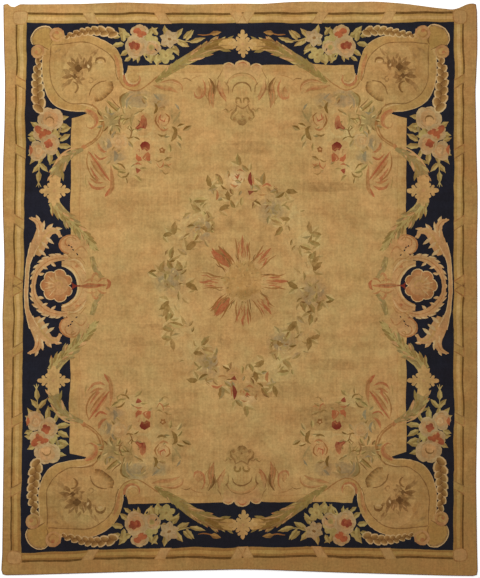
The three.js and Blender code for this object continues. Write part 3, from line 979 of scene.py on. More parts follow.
def draw_end_shells(cartoon):
    """The shell on the field's edge at both ends, with its loose acanthus scrolls."""
    cartoon.copies = BOTH_ENDS
    for x, y, wide, high, red in (
        (8.8, 139.8, 3.6, 2.3, 0.5), (-8.8, 139.8, 3.6, 2.3, 0.5), (0, 140.4, 5.0, 3.4, 0.75),
    ):
        cartoon.area(oval(complex(x, y), wide, high / wide, 0, 12), "cream", 0.6, 0.95)
        cartoon.area(oval(complex(x, y - 0.5), wide - 0.4, high / wide, 0, 12), "bisque", 0.9, 0.99)
        crown = [complex(x + 0.56 * wide * s, y + high * (0.58 - 0.5 * s * s)) for s in (-1, -0.5, 0, 0.5, 1)]
        cartoon.band(crown, (0.2, 0.8, 1.0, 0.8, 0.2), "rose", red, step=2)
    skirt = places(
        (-12.4, 137.6), (-5, 139.2), (5, 139.2), (12.4, 137.6), (10.4, 131), (7, 133.4), (-7, 133.4),
        (-10.4, 131),
    )
    cartoon.area(skirt, "bisque", 0.45, 0.99)
    arch = places(
        (-9.8, 128.2), (-8, 131.8), (-4.6, 134.4), (0, 135.4), (4.6, 134.4), (8, 131.8), (9.8, 128.2),
    )
    cartoon.band([p - 0.8j for p in arch], (0.8, 1.8, 1.8, 1.8, 0.8), "pink", 0.28, step=2.4)
    cartoon.band(arch, (0.8, 0.5, 0.8, 0.5, 0.7), "umber", 0.55, step=2)
    arch = places(
        (-6.2, 123.2), (-5.2, 126.6), (-2.8, 128.7), (0, 129.4), (2.8, 128.7), (5.4, 126.4), (6.2, 123.2),
    )
    cartoon.band(arch, (0.4, 0.9, 1.1, 0.9, 0.4), "umber", 0.75, step=1.6)
    for x in (-3.8, 3.8):
        cartoon.stroke(places((x, 138.6), (0.9 * x, 136)), 0.8, "umber", 0.5)
    cartoon.stroke(
        places((-4.8, 115.6), (-2.2, 113.6), (0, 112.6), (2.2, 113.6), (4.8, 115.6)), 1.1, "umber", 0.65,
    )
    scallops = places(
        (-7.6, 109.6), (-7.4, 106.6), (-5.4, 104.6), (-4, 105), (-2.2, 102.6), (0.4, 102), (2.4, 103),
        (3.6, 104.8), (5.6, 104.4), (7.4, 106.8), (7.2, 109.6), (3, 109), (-3, 109),
    )  # fmt: skip
    cartoon.area(scallops, "leaf_shade", 0.2, 1.0, ("umber", 0.85), (complex(0, 108.4), complex(0, 102.6)))
    for x, y, size in (
        (-5.2, 106.4, 1.5), (-2, 105, 1.2), (1.2, 104.6, 1.5), (4.6, 106.2, 1.4), (0, 107.6, 1),
    ):
        cartoon.area(
            lobed(complex(x, y), size, 3, 0.4, 50 * x, 2), "umber", 0.7, 1.0, ("ochre", 0.7),
            (complex(x, y), complex(x, y + 2)),
        )
    cartoon.copies = ALL_CORNERS
    for x in (1.0, 3.0):
        cartoon.stroke(places((0.8 * x, 119.4), (x, 128)), 0.6, "ochre", 0.25)
    curl = places((0.9, 116.2), (1.3, 118.8), (3.4, 119.4), (4.6, 117.6), (3.6, 115.8))
    cartoon.band(curl, (0.8, 1.3, 1.5, 1.4, 0.6), "olive", 0.7, step=1.4)
    cartoon.area(lobed(complex(4.2, 117), 1.2, 3, 0.4, 20, 2), "umber", 0.55)
    cartoon.stroke(
        places((3.8, 115.4), (4.6, 111.8), (6.8, 109.8), (7.6, 107), (6.2, 105)), 1.5, "umber", 0.7,
        "olive",
    )
    cartoon.stroke(places((2.2, 112), (3.4, 109.4), (5.4, 108)), 0.8, "olive", 0.5)
    cartoon.stroke(
        places((5.2, 111.4), (7.2, 112.2), (8.8, 110.6), (10.8, 113), (13, 111.4)), 1.2, "umber", 0.6,
    )
    cartoon.area(oval(complex(9.2, 111), 1.2, 0.6, 0, 6), "leaf_shade", 0.6)
    cartoon.stroke(places((12.2, 138.8), (13.8, 134.6), (16.4, 131)), 0.8, "umber", 0.55)
    cartoon.area(lobed(complex(9.8, 128.4), 0.9, 3, 0.3, 0, 2), "umber", 0.6)
    cartoon.stroke(
        places((14.2, 131.6), (14.6, 126.4), (12.6, 122), (10.6, 118.2)), 3.4, "bisque", 0.6, "pink",
    )
    cartoon.stroke(
        places((14.6, 132), (15.6, 126.4), (13.4, 121.4), (10.4, 117.4)), 1.0, "umber", 0.75, "rose",
    )
    cartoon.stroke(places((11.4, 130.2), (8.8, 127.2), (8.6, 121.2)), 0.9, "umber", 0.65)
    cartoon.stroke(places((12.4, 127), (12.2, 123), (9.8, 119.6)), 0.8, "pink", 0.7)
    cartoon.stroke(places((17.4, 132.6), (16.8, 128), (15.6, 123.6)), 0.7, "umber", 0.6)
    leaf = places((20.6, 131.6), (18.6, 127), (19.6, 121), (18.2, 113.4))
    cartoon.stroke(leaf, 4.0, "pink", 0.65, "rose")
    cartoon.stroke(places((21.6, 132.6), (19.4, 129.6), (17.8, 126.4), (18.6, 122)), 1.8, "umber", 0.95)
    cartoon.stroke([p + 2.0 for p in leaf], 0.8, "madder", 0.75)
    cartoon.stroke([p - 1.9 for p in leaf[:3]] + [leaf[3]], 0.8, "umber", 0.6)
    cartoon.stroke([p + 0.3 for p in leaf], 0.7, "umber", 0.6)
    cartoon.stroke(places((23.4, 130.6), (24.2, 125), (22.4, 119.4), (20, 116.6)), 0.8, "madder", 0.6)
    cartoon.area(oval(complex(26.8, 122.6), 3.6, 0.72, 70, 10), "pink", 0.4)
    cartoon.stroke(places((25.6, 131.6), (23.6, 126.6), (24.6, 120.8), (28.6, 118.6)), 1.3, "rose", 0.7)
    cartoon.stroke(places((30.4, 123.6), (29.8, 120.2), (26.6, 119.6), (25.4, 122.4)), 1.7, "rose", 0.65)
    cartoon.stroke(places((28.4, 127.4), (26.6, 124.6), (27.4, 121.8)), 0.8, "madder", 0.6)
    cartoon.stroke(places((31.6, 129.6), (35.4, 131.8), (39, 131)), 0.8, "umber", 0.6)
    cartoon.stroke(places((24.6, 133.6), (29, 133), (33, 130.6)), 0.9, "madder", 0.5)
    cartoon.feather(
        places((37.6, 123.4), (38.8, 127.6), (44.4, 130.2), (52.4, 129.2)), 2.4, "bisque", "pink", "madder",
        0.9,
    )
    cartoon.feather(
        places((57, 127.6), (51, 126.2), (45, 125.4), (40, 122.6)), 3.2, "pink", "rose", "madder", 0.7,
    )


def draw_field_acanthus(cartoon):
    """Loose pink acanthus strokes along the sides of the field."""
    cartoon.copies = ALL_CORNERS
    for line, width, yarn, strength in (
        (((96.4, 86), (97.8, 78.4), (95.4, 71), (89, 65)), 1.1, "madder", 0.8),
        (((96.8, 85.6), (92.4, 79.4), (88, 73.6), (83.6, 67.6)), 3.4, "pink", 0.6),
        (((96.2, 85.2), (91, 77.6), (86.6, 71.4), (83, 67.2)), 1.4, "rose", 0.95),
        (((95.6, 80.6), (92.6, 75.6), (88.4, 70.4), (85, 67)), 2.2, "pink", 0.6),
        (((95.4, 79.4), (91.6, 73.6), (87.6, 69.4)), 0.9, "madder", 0.8),
        (((96, 75.8), (93, 70.8), (89.6, 68)), 1.6, "rose", 0.75),
        (((90.6, 91.6), (89.6, 88), (86.2, 84.6)), 2.6, "pink", 0.75),
        (((90.8, 91), (88.4, 86.8), (84.8, 84.8)), 1.0, "rose", 0.8),
        (((93, 84.2), (89.4, 80.6), (84.6, 82.4)), 1.5, "rose", 0.85),
        (((97, 66.8), (94, 63), (89.4, 62.2), (85.8, 64)), 2.0, "rose", 0.7),
        (((96, 68.6), (91.4, 66), (87, 66.4)), 1.6, "pink", 0.8),
        (((92.6, 70.6), (91.2, 67.6), (90.4, 65)), 1.6, "rose", 0.7),
        (((83, 76.6), (82, 68.6), (82.6, 61.6), (85.6, 57)), 3.0, "pink", 0.65),
        (((81.4, 72), (81.4, 64), (84.2, 59)), 0.9, "madder", 0.7),
        (((83.4, 62.6), (84.8, 59.6), (86.6, 56.6)), 1.7, "rose", 0.9),
        (((98.4, 71), (98.8, 67), (97.4, 62)), 0.8, "leaf_shade", 0.6),
    ):  # fmt: skip
        cartoon.stroke(places(*line), width, yarn, strength)


def draw_field_bouquet(cartoon):
    """The faded posies in the four corners of the field."""
    cartoon.copies = ALL_CORNERS
    at = complex(61, 98)
    for x, y, reach, ratio, count, size, strength in (
        (21, 7, 7.5, 0.9, 16, 4.8, 1.0), (10, 8, 7, 1.0, 8, 5.0, 0.7), (-18, -1, 6, 1.2, 7, 5.0, 0.85),
        (11, -1, 6, 0.7, 7, 4.6, 0.85), (10, -25, 8, 0.5, 6, 5.0, 0.75), (-8, -20, 7, 0.6, 5, 4.4, 0.6),
        (-2, 17, 8, 0.5, 5, 5.0, 0.6), (22, -14, 4, 1.6, 4, 4.6, 0.6),
    ):  # fmt: skip
        cartoon.foliage(at + complex(x, y), reach, ratio, count, size, strength)
    for line, width, yarn, strength in (
        (((10, 25), (14.4, 21.4), (13.6, 15.6)), 3.6, "sage", 0.95),
        (((10.4, 26), (15.6, 22), (14.6, 14.6)), 1.2, "olive", 0.8),
        (((8, 24), (11.6, 20), (11.8, 15)), 1.6, "slate", 0.9),
        (((9, 22.4), (3, 24), (-3, 22)), 1.6, "sage", 0.6),
        (((-4, 24.6), (-6, 22.6), (-8.4, 20.4)), 1.6, "slate", 1.0),
        (((-18.6, 18.2), (-20.2, 16.2), (-21.4, 13.8)), 1.7, "slate", 1.0),
        (((24, 20), (21, 17), (17, 13.7)), 2.6, "leaf_shade", 0.8),
        (((25, 20), (21.6, 16.4), (17, 13)), 0.9, "olive", 0.95),
        (((21.5, 21.3), (18.6, 18), (15, 15)), 0.8, "umber", 0.8),
        (((19, 12.6), (21.6, 11.4), (24, 12.4)), 1.6, "slate", 1.0),
        (((15, 11), (16.6, 6), (14.6, 2)), 1.1, "umber", 0.7),
        (((12, 3), (8.6, 0), (10.6, -4.3)), 1.1, "umber", 0.7),
        (((14.6, -2), (11, -3.6), (7.4, -2.6)), 1.0, "olive", 0.8),
        (((8, 12), (9.6, 8), (8.4, 3.6)), 1.0, "leaf_shade", 0.8),
        (((-5.4, 18.8), (-6.9, 15), (-5, 11.4)), 2.2, "olive", 0.95),
        (((-22, 13.6), (-19.5, 9.2), (-16.9, 5.3)), 1.6, "sage", 0.8),
        (((-16.4, 15.6), (-16.8, 8)), 2.2, "sage", 0.6),
        (((-16.3, 3.6), (-18.9, 1.4), (-18.2, -3), (-16.3, -5.8)), 2.8, "olive", 0.85),
        (((-7.2, -1), (-10, -2.6), (-13.4, -1.4)), 1.6, "olive", 0.8),
        (((18.3, -20.3), (15, -21), (12.6, -24.2)), 1.2, "olive", 0.9),
        (((15.8, -28.6), (12, -28.2), (10.2, -25.6)), 1.3, "olive", 0.85),
        (((16, -24), (17.4, -27), (14, -29.6)), 0.9, "leaf_shade", 0.8),
        (((24, -3.6), (22.4, -7), (24.2, -10.4)), 2.2, "slate", 0.95),
        (((19.6, -12), (18.4, -15.4), (19.6, -19)), 2.6, "slate", 1.0),
        (((-6.6, -19.6), (-8.6, -22.9), (-10.5, -21.6), (-11.1, -18.4)), 0.9, "rose", 0.8),
        (((-12, -19.4), (-14, -21.2), (-16, -20)), 1.1, "pink", 0.8),
        (((-5.4, -17.6), (-8, -18.6), (-11, -17)), 0.9, "olive", 0.7),
        (((-9.6, -25), (-12, -27), (-14.6, -26)), 1.0, "olive", 0.6),
    ):  # fmt: skip
        cartoon.stroke([at + p for p in places(*line)], width, yarn, strength)
    for line, width, yarn, strength in (
        (((-7.4, 11.4), (-5.8, 7.2), (-8.6, 2.4)), 1.3, "madder", 0.9),
        (((-8.6, 10.6), (-7.6, 7), (-8.8, 4.4)), 0.8, "pink", 0.8),
        (((-11.8, 12), (-14.8, 9.6), (-13.7, 5)), 1.2, "madder", 0.9),
        (((-9.6, 11.6), (-8.8, 8), (-11.4, 6.8), (-12.6, 9.4)), 1.2, "rose", 0.95),
        (((-10.4, 10.4), (-10.8, 8.6)), 1.7, "rose", 1.0),
        (((-8.2, 2.8), (-11, 1.0), (-14.2, 2.6)), 1.4, "pink", 0.8),
        (((-10, 4.6), (-12.4, 4), (-14, 6)), 0.9, "madder", 0.7),
    ):  # fmt: skip
        cartoon.stroke([at + p for p in places(*line)], width, yarn, strength)
    bud = [
        at + p
        for p in places(
            (1.6, 10.8), (-0.4, 8.6), (-0.8, 4.8), (0.2, 1.8), (3, 2.4), (5.2, 1.2), (6.6, 2.6), (4.6, 4.4),
            (3.4, 6.6), (3, 9.6),
        )
    ]
    cartoon.area(bud, "crimson", 0.8, 1.1, ("rose", 0.6), (at + complex(2, 4), at + complex(2, 11)))
    cartoon.stroke([at + p for p in places((3.4, 6), (3, 3.8), (5.6, 2.4))], 1.5, "rose", 0.85)
    cartoon.stroke([at + p for p in places((1.4, 4.6), (1.6, 2.8), (3.6, 3))], 1.3, "crimson", 1.0)
    top = [
        at + p
        for p in places(
            (4.0, -8.4), (2.6, -6.6), (0.6, -5.8), (-1.4, -6.8), (-2.8, -8), (-2.6, -11), (-0.4, -12.2),
            (1.0, -10.6), (2.6, -11.4),
        )
    ]
    cartoon.area(top, "crimson", 1.0, 0.86, ("rose", 0.9), (at + complex(1, -8), at + complex(-2, -13)))
    cartoon.stroke([at + p for p in places((2.6, -10.4), (0.6, -10), (-1.6, -11.2))], 0.9, "rose", 0.8)
    petal = [
        at + p
        for p in places((0.6, -13.9), (-1.5, -12.4), (-3.0, -14.2), (-2.8, -18.4), (0.4, -18), (2.5, -16.6))
    ]
    cartoon.area(petal, "rose", 1.0, 1.0, ("pink", 0.9), (at + complex(-2, -17), at + complex(2, -14)))
    petal = [
        at + p for p in places((6.4, -13.4), (4.8, -15.2), (3, -15.8), (2.4, -18), (5, -18.8), (6.6, -16.6))
    ]
    cartoon.area(petal, "rose", 0.95, 1.04)
    cartoon.stroke([at + p for p in places((6.6, -11.4), (4.6, -10.8), (3.8, -13.6))], 0.9, "pink", 0.8)
    cartoon.stroke([at + p for p in places((-0.2, -14.8), (0.8, -16.8), (-0.8, -18))], 0.9, "bisque", 0.9)
    ring = at + complex(-10.8, -11.3)
    cartoon.area(lobed(ring, 2.2, 5, 0.3, 20, 2), "madder", 0.95, 0.9)
    cartoon.area(oval(ring + complex(0.2, 0.2), 0.8, 0.8, 0, 6), "bisque", 0.9)
    cartoon.rose(at + complex(16.4, -5.6), 4.8, "bisque", "cream", "bisque", 0.5, 0)
    cartoon.area(lobed(at + complex(4.8, -24.6), 2.1, 3, 0.4, 45, 2), "crimson", 0.85, 1.3)
    cartoon.stroke([at + p for p in places((7.6, -21.4), (5, -20), (2.4, -20.8))], 1.7, "rose", 0.7)


# A half of the wreath, the other half being the same after half a turn about the middle.
WREATH_LEAVES = (
    # x, y, angle, length, yarn
    (20.5, 60.5, 75, 8, "olive"), (12.6, 62, 60, 6.5, "leaf_shade"), (31.4, 51.8, 175, 9, "leaf"),
    (26.4, 45, 35, 8, "leaf_shade"), (15, 45.4, 155, 8, "olive"), (8.4, 51.4, 80, 7, "olive"),
    (4.6, 47, 60, 6, "leaf_shade"), (2, 74, 80, 8, "leaf_shade"), (-4, 70, 45, 7, "sage"),
    (-12.6, 61, 100, 9, "sage"), (-27.6, 57.4, 185, 8, "olive"), (-30.6, 39.8, 10, 7, "olive"),
    (-25.4, 35.4, -50, 8, "leaf_shade"), (-18, 40, 200, 8, "leaf"), (18.6, 33.4, 10, 9, "olive"),
    (43.6, 29.6, 95, 9, "olive"), (50.6, 29, 170, 7, "olive"), (35.6, 19.6, 135, 10, "olive"),
    (45.2, 14.6, 100, 8, "leaf_shade"), (36.6, -1.4, -150, 9, "olive"), (43.6, 7.6, 60, 8, "leaf_shade"),
    (52, 6, 110, 8, "leaf_shade"), (46.4, -12.4, -40, 9, "olive"), (47, -19, -80, 7, "leaf_shade"),
    (-44.6, 31, 80, 8, "olive"), (-51, 30, 10, 8, "leaf_shade"), (-37, 23, -160, 9, "leaf"),
    (-50, 23.6, 20, 8, "leaf_shade"), (-45, 18, -60, 7, "leaf_shade"), (-45.4, 9, 120, 9, "olive"),
    (31, 26, 120, 7, "leaf"), (24, 38, 160, 7, "sage"), (38, 8, 60, 7, "leaf_shade"),
)  # fmt: skip


def draw_wreath(cartoon):
    """The loose wreath of roses, blue flowers and leaves round the sun."""
    middle = complex(0.4, 2.8)
    cartoon.copies = HALF_TURN
    for k in range(13):
        angle = math.radians(14 * k + 4)
        away = cartoon.chance.uniform(0.88, 1.12)
        spot = middle + away * complex(44 * math.cos(angle), 59 * math.sin(angle))
        cartoon.foliage(spot, 7, 0.8, 4, 5.6, cartoon.chance.uniform(0.45, 0.8))
    for x, y, radius in ((19, 46, 12), (-26, 33, 11), (-46, 1, 13)):
        cartoon.foliage(middle + complex(x, y), 0.75 * radius, 0.9, 6, 5.6, 0.75)
    for k, (x, y, angle, length, yarn) in enumerate(WREATH_LEAVES):
        base = middle + complex(-x, y)
        heading = 180 - angle
        strength = cartoon.chance.uniform(0.6, 0.95)
        swing = heading + (58 if k % 2 else -58)
        cartoon.leaf(
            base, base + 0.85 * length * direction(swing), 0.44 * length, "pale", "leaf_shade",
            0.8 * strength, 0,
        )
        tip = base + length * direction(heading)
        cartoon.leaf(base, tip, 0.48 * length, yarn, "olive", strength, 1, 0.4)
    for x, y, radius in ((-25.6, 33.6, 6.6), (19.6, 46.6, 6.0), (-46, 2, 7.6)):
        at = middle + complex(x, y)
        for angle in range(0, 360, 60):
            reach = cartoon.chance.uniform(0.4, 0.8) * radius
            spot = at + reach * direction(angle + cartoon.chance.uniform(-20, 20))
            size = radius * cartoon.chance.uniform(0.28, 0.46)
            yarn = "slate" if angle % 120 else "sage"
            cartoon.area(oval(spot, size, 0.6, angle + 60, 8), yarn, 0.65, cartoon.chance.uniform(0.94, 1.12))
        for angle in range(10, 370, 45):
            spot = at + cartoon.chance.uniform(0.1, 1.0) * radius * direction(angle)
            tip = spot + cartoon.chance.uniform(1.8, 4.0) * direction(angle + 40)
            yarn = cartoon.chance.choice(("umber", "olive", "leaf_shade", "pale"))
            cartoon.area(lens(spot, tip, 0.6, 0.4, 3), yarn, 0.75)
    for line, width, yarn, strength in (
        (((-4, 70.8), (-1.6, 71.4), (0.6, 70)), 1.3, "pink", 0.8),
        (((-9.6, 66), (-8.6, 70)), 1.2, "madder", 0.6),
        (((-8, 62.4), (-5, 60.6), (-3, 61.6)), 1.5, "pink", 0.8),
        (((0.8, 66), (0.4, 63)), 1.3, "madder", 0.6),
        (((-5.6, 68), (-3.6, 66), (-2, 68.4)), 2.4, "rose", 1.0),
        (((-4.8, 69), (-3.4, 67.6), (-2.4, 69)), 1.2, "crimson", 0.8),
        (((-7.6, 66.4), (-6.4, 64.4), (-4.4, 64.4)), 1.0, "bisque", 0.9),
        (((-2, 63.6), (-1, 65), (-1.6, 66.4)), 0.9, "rose", 0.6),
        (((5, 69.6), (4.4, 65), (5.6, 60.6)), 3.0, "crimson", 0.95),
        (((6.6, 68), (6.4, 64), (7, 61)), 0.9, "rose", 0.8),
        (((3, 57.6), (4.6, 56), (7, 57)), 3.2, "crimson", 0.9),
        (((2, 53.6), (4.4, 52.8), (7.6, 53.6)), 1.7, "bisque", 0.9),
        (((-16.6, 58.6), (-16, 55), (-17, 52)), 2.2, "pink", 0.9),
        (((12, 60), (15.6, 62), (19, 60.4)), 1.7, "rose", 0.8),
        (((20.4, 60.6), (22.6, 59)), 2.6, "crimson", 0.8),
        (((8.6, 56), (12, 54.6), (15, 55.6)), 1.2, "madder", 0.6),
        (((-14, 62), (-12, 59.6), (-9.6, 58.6)), 1.3, "olive", 0.9),
        (((-11.4, 56), (-8.6, 54), (-6.4, 55)), 1.6, "olive", 0.8),
    ):  # fmt: skip
        cartoon.stroke([middle + p for p in places(*line)], width, yarn, strength)


def draw_sun(cartoon):
    """The sun in the middle: eight sheaves of red strokes round a mottled gold disc."""
    cartoon.copies = ONCE
    middle = complex(0.4, 2.8)
    disc = lobed(middle + complex(0.2, 0.8), 13.2, 7, 0.16, 20)
    cartoon.area(disc, "ochre", 0.5, 1.02, ("ochre", 0.4), (middle, middle + 15), True)
    for k in range(70):
        spot = middle + 13.6 * math.sqrt(cartoon.chance.random()) * direction(cartoon.chance.uniform(0, 360))
        outward = spot - middle
        outward /= abs(outward)
        tip = spot + cartoon.chance.uniform(1.2, 3.4) * outward * direction(cartoon.chance.uniform(-50, 50))
        yarn = cartoon.chance.choice(("umber", "gold", "umber", "olive", "leaf_shade", "gold", "leaf"))
        cartoon.area(lens(spot, tip, 0.5, 0.35, 3), yarn, 0.55)
    for k in range(8):
        angle = 45 * k + (4 if k % 2 else 0) * (1 if k in (1, 5) else -1)
        strong = k in (3, 5)
        haze = [middle + r * direction(angle) for r in (15, 21, 28)]
        cartoon.stroke(haze, 7, "pink", 0.22)
        if strong:
            for slant, reach, wide, yarn in (
                (0, 27, 8, "madder"), (4, 28, 4, "rose"), (-7, 28, 3, "madder"), (-3, 24, 2, "umber"),
            ):
                sheaf = [middle + r * direction(angle + slant) for r in (13, 19, reach)]
                cartoon.stroke(sheaf, wide, yarn, 0.85)
        for slant, near, reach, width, yarn in (
            (12, 12.5, 28, 1.1, "madder"), (-12, 12.8, 28, 1.1, "madder"), (8, 17, 27, 0.9, "rose"),
            (-8, 16, 26, 0.9, "rose"), (1, 17, 30, 1.7, "rose"), (3, 15, 24, 0.8, "pink"),
            (-3.4, 15, 23, 0.8, "pink"), (17, 12.5, 21, 0.7, "umber"),
        ):  # fmt: skip
            wobble = cartoon.chance.uniform(-2, 2)
            reach += cartoon.chance.uniform(-2.4, 1.0)
            fan = 1.25 if abs(slant) > 4 else 1.0
            line = [
                middle + near * direction(angle + fan * slant),
                middle + (0.6 * near + 0.4 * reach) * direction(angle + slant + wobble),
                middle + (0.3 * near + 0.7 * reach) * direction(angle + 0.9 * slant - wobble),
                middle + reach * direction(angle + 0.9 * slant),
            ]
            cartoon.stroke(line, width * cartoon.chance.uniform(0.85, 1.25), yarn, 1.0 if strong else 0.85)


def draw_hazes(cartoon):
    """The faded colour that lies round the motifs, and the brown streaks of age."""
    cartoon.copies = ALL_CORNERS
    cartoon.glow(complex(98, 146), 14, 0.7, "leaf_shade", 0.3)
    cartoon.glow(complex(90, 73), 16, 1.1, "bisque", 0.5)
    for x, y, radius, ratio, yarn, strength in (
        (63, 98, 29, 1.0, "pale", 0.55), (66, 119, 11, 0.55, "slate", 0.9),
        (82, 105, 10.5, 0.95, "sage", 1.0), (53, 118, 8, 0.6, "slate", 0.7), (84, 90, 8, 1.2, "slate", 0.9),
        (79, 82, 7, 1.1, "slate", 0.8), (43, 107, 7, 1.4, "sage", 0.6), (77, 93, 6, 1.0, "bisque", 0.8),
        (70, 75, 10, 0.6, "pale", 0.7), (70, 107, 8, 0.9, "sage", 0.6),
        (50.6, 105, 6.6, 1.1, "bisque", 0.8), (63, 103, 6.4, 1.2, "bisque", 0.7),
        (62.4, 86, 8, 1.1, "bisque", 0.8),
    ):  # fmt: skip
        cartoon.glow(complex(x, y), radius, ratio, yarn, strength)
    cartoon.copies = BOTH_ENDS
    cartoon.glow(complex(0, 124), 30, 0.45, "leaf", 0.3)
    cartoon.glow(complex(0, 108), 10, 1.0, "leaf_shade", 0.5)
    middle = complex(0.4, 2.8)
    cartoon.copies = HALF_TURN
    for k in range(9):
        angle = math.radians(20 * k + 5)
        cartoon.glow(middle + complex(43 * math.cos(angle), 58 * math.sin(angle)), 15, 0.9, "pale", 0.6)
    for x, y, radius in ((19, 46, 12), (-26, 33, 11), (-46, 1, 13)):
        cartoon.glow(middle + complex(x, y), radius, 0.9, "slate", 0.75)
    cartoon.glow(middle + complex(-3.8, 65.6), 9, 1, "cream", 1.0)
    cartoon.glow(middle + complex(6.2, 57.6), 9, 1, "pink", 0.4)
    cartoon.copies = ONCE
    cartoon.glow(middle, 30, 1, "bisque", 0.5)
    for x, y, radius, ratio, yarn, strength in (
        (54, 63, 24, 0.14, "umber", 0.36), (-66, 66, 14, 0.2, "umber", 0.3),
        (-8.6, 41, 5, 3.2, "umber", 0.6), (-11, -36, 5.6, 4.2, "umber", 0.8),
        (-20, 36, 12, 0.3, "umber", 0.25), (-52, -26, 18, 0.1, "umber", 0.35),
        (-70, -36, 22, 0.14, "umber", 0.3), (58, -50, 24, 0.16, "umber", 0.26),
        (0, 88, 30, 0.14, "umber", 0.24), (20, -66, 34, 0.16, "umber", 0.26),
        (-40, -84, 26, 0.24, "umber", 0.26), (56, -84, 26, 0.34, "umber", 0.4),
        (10, -98, 22, 0.4, "madder", 0.22), (74, 6, 12, 2.4, "ochre", 0.3), (-78, 10, 8, 3.0, "pale", 0.35),
        (24, 98, 16, 0.5, "pink", 0.2), (-30, 66, 14, 0.3, "pink", 0.2), (84, -84, 10, 2.0, "umber", 0.3),
    ):  # fmt: skip
        cartoon.glow(complex(x, y), radius, ratio, yarn, strength)


def carpet_cartoon(yarns, sizes, rim):
    """The whole drawing, from the ground up."""
    cartoon = Cartoon(yarns)
    draw_ground(cartoon, sizes, rim)
    draw_reed_ties(cartoon, sizes)
    draw_panel_ground(cartoon)
    draw_hazes(cartoon)
    draw_corner_panel(cartoon)
    draw_frame_line(cartoon)
    draw_panel_leaves(cartoon)
    draw_end_bouquet(cartoon)
    draw_side_bouquet(cartoon)
    draw_corner_horns(cartoon)
    draw_garlands(cartoon)
    draw_side_scrolls(cartoon)
    draw_end_shells(cartoon)
    draw_field_acanthus(cartoon)
    draw_field_bouquet(cartoon)
    draw_wreath(cartoon)
    draw_sun(cartoon)
    return cartoon


# The widest part of the CAD rim stands upright, and is this high in metres, at the least and at the most.
UPRIGHT_LEAST, UPRIGHT_MOST = 0.002, 0.005


def rim_of(node):
    """The outermost points of the CAD carpet in order round it, in centimetres."""
    heights = {}
    for vertex in node.data.vertices:
        place = complex(round(vertex.co.x, 5), round(vertex.co.y, 5)) / CM
        heights.setdefault(place, set()).add(vertex.co.z)
    upright = [place for place, zs in heights.items() if UPRIGHT_LEAST < max(zs) - min(zs) < UPRIGHT_MOST]
    return sorted(upright, key=cmath.phase)


# Low swells where the old cloth doesn't lie quite flat, in metres.
SWELLS = (
    # x, y, reach across, reach along, rise
    (-1.440, 1.700, 0.210, 0.260, 0.006),
    (1.330, 1.690, 0.330, 0.240, 0.007),
    (1.400, 1.240, 0.260, 0.420, 0.005),
    (-1.430, 1.270, 0.230, 0.380, 0.005),
    (-1.440, 0.180, 0.220, 0.340, 0.004),
    (0.060, -1.720, 0.620, 0.210, 0.005),
    (0.250, 1.700, 0.520, 0.200, 0.004),
)


def lift(x, y):
    """How far the cloth is off the floor at places given as arrays in metres."""
    total = np.zeros_like(x)
    for at_x, at_y, across, along, rise in SWELLS:
        near = np.maximum(0, 1 - ((x - at_x) / across) ** 2 - ((y - at_y) / along) ** 2)
        total += rise * near**2
    return total


def drawn_in(rim, inset):
    """The rim moved towards the inside of the cloth by an inset in centimetres."""
    count = len(rim)
    moved = []
    for i, point in enumerate(rim):
        ahead = rim[(i + 2) % count] - rim[i - 2]
        moved.append(point + 1j * ahead / abs(ahead) * inset)
    return moved


# How closely points are merged as the cloth is cut, and how far a piece may reach past its area's box, in cm.
CUT_TOLERANCE = 1e-4
STRAY_MARGIN = 0.01


def enclosed(points, outline):
    """Which of the points lie inside an outline."""
    across, along = points.T
    inside = np.zeros(len(points), dtype=bool)
    for one, other in zip(outline, outline[1:] + outline[:1]):
        if one.imag != other.imag:
            crossing = one.real + (along - one.imag) * (other.real - one.real) / (other.imag - one.imag)
            inside ^= ((one.imag > along) != (other.imag > along)) & (across < crossing)
    return inside


def topmost(outlines, claims, centres):
    """The last area that claims each triangle, or -1 where none does, with no area let out of its outline."""
    rows = np.repeat(np.arange(len(claims)), [len(claim) for claim in claims])
    areas = np.concatenate([np.array(claim) for claim in claims])
    low = np.array([(min(p.real for p in outline), min(p.imag for p in outline)) for outline in outlines])
    high = np.array([(max(p.real for p in outline), max(p.imag for p in outline)) for outline in outlines])
    middles = centres[rows]
    low, high = low[areas] - STRAY_MARGIN, high[areas] + STRAY_MARGIN
    stray = ((middles < low) | (middles > high)).any(axis=1)
    held = np.ones(len(rows), dtype=bool)
    for area in np.unique(areas[stray]):
        its_own = areas == area
        held[its_own] = enclosed(middles[its_own], outlines[area])
    owner = np.full(len(claims), -1)
    np.maximum.at(owner, rows[held], areas[held])
    return owner


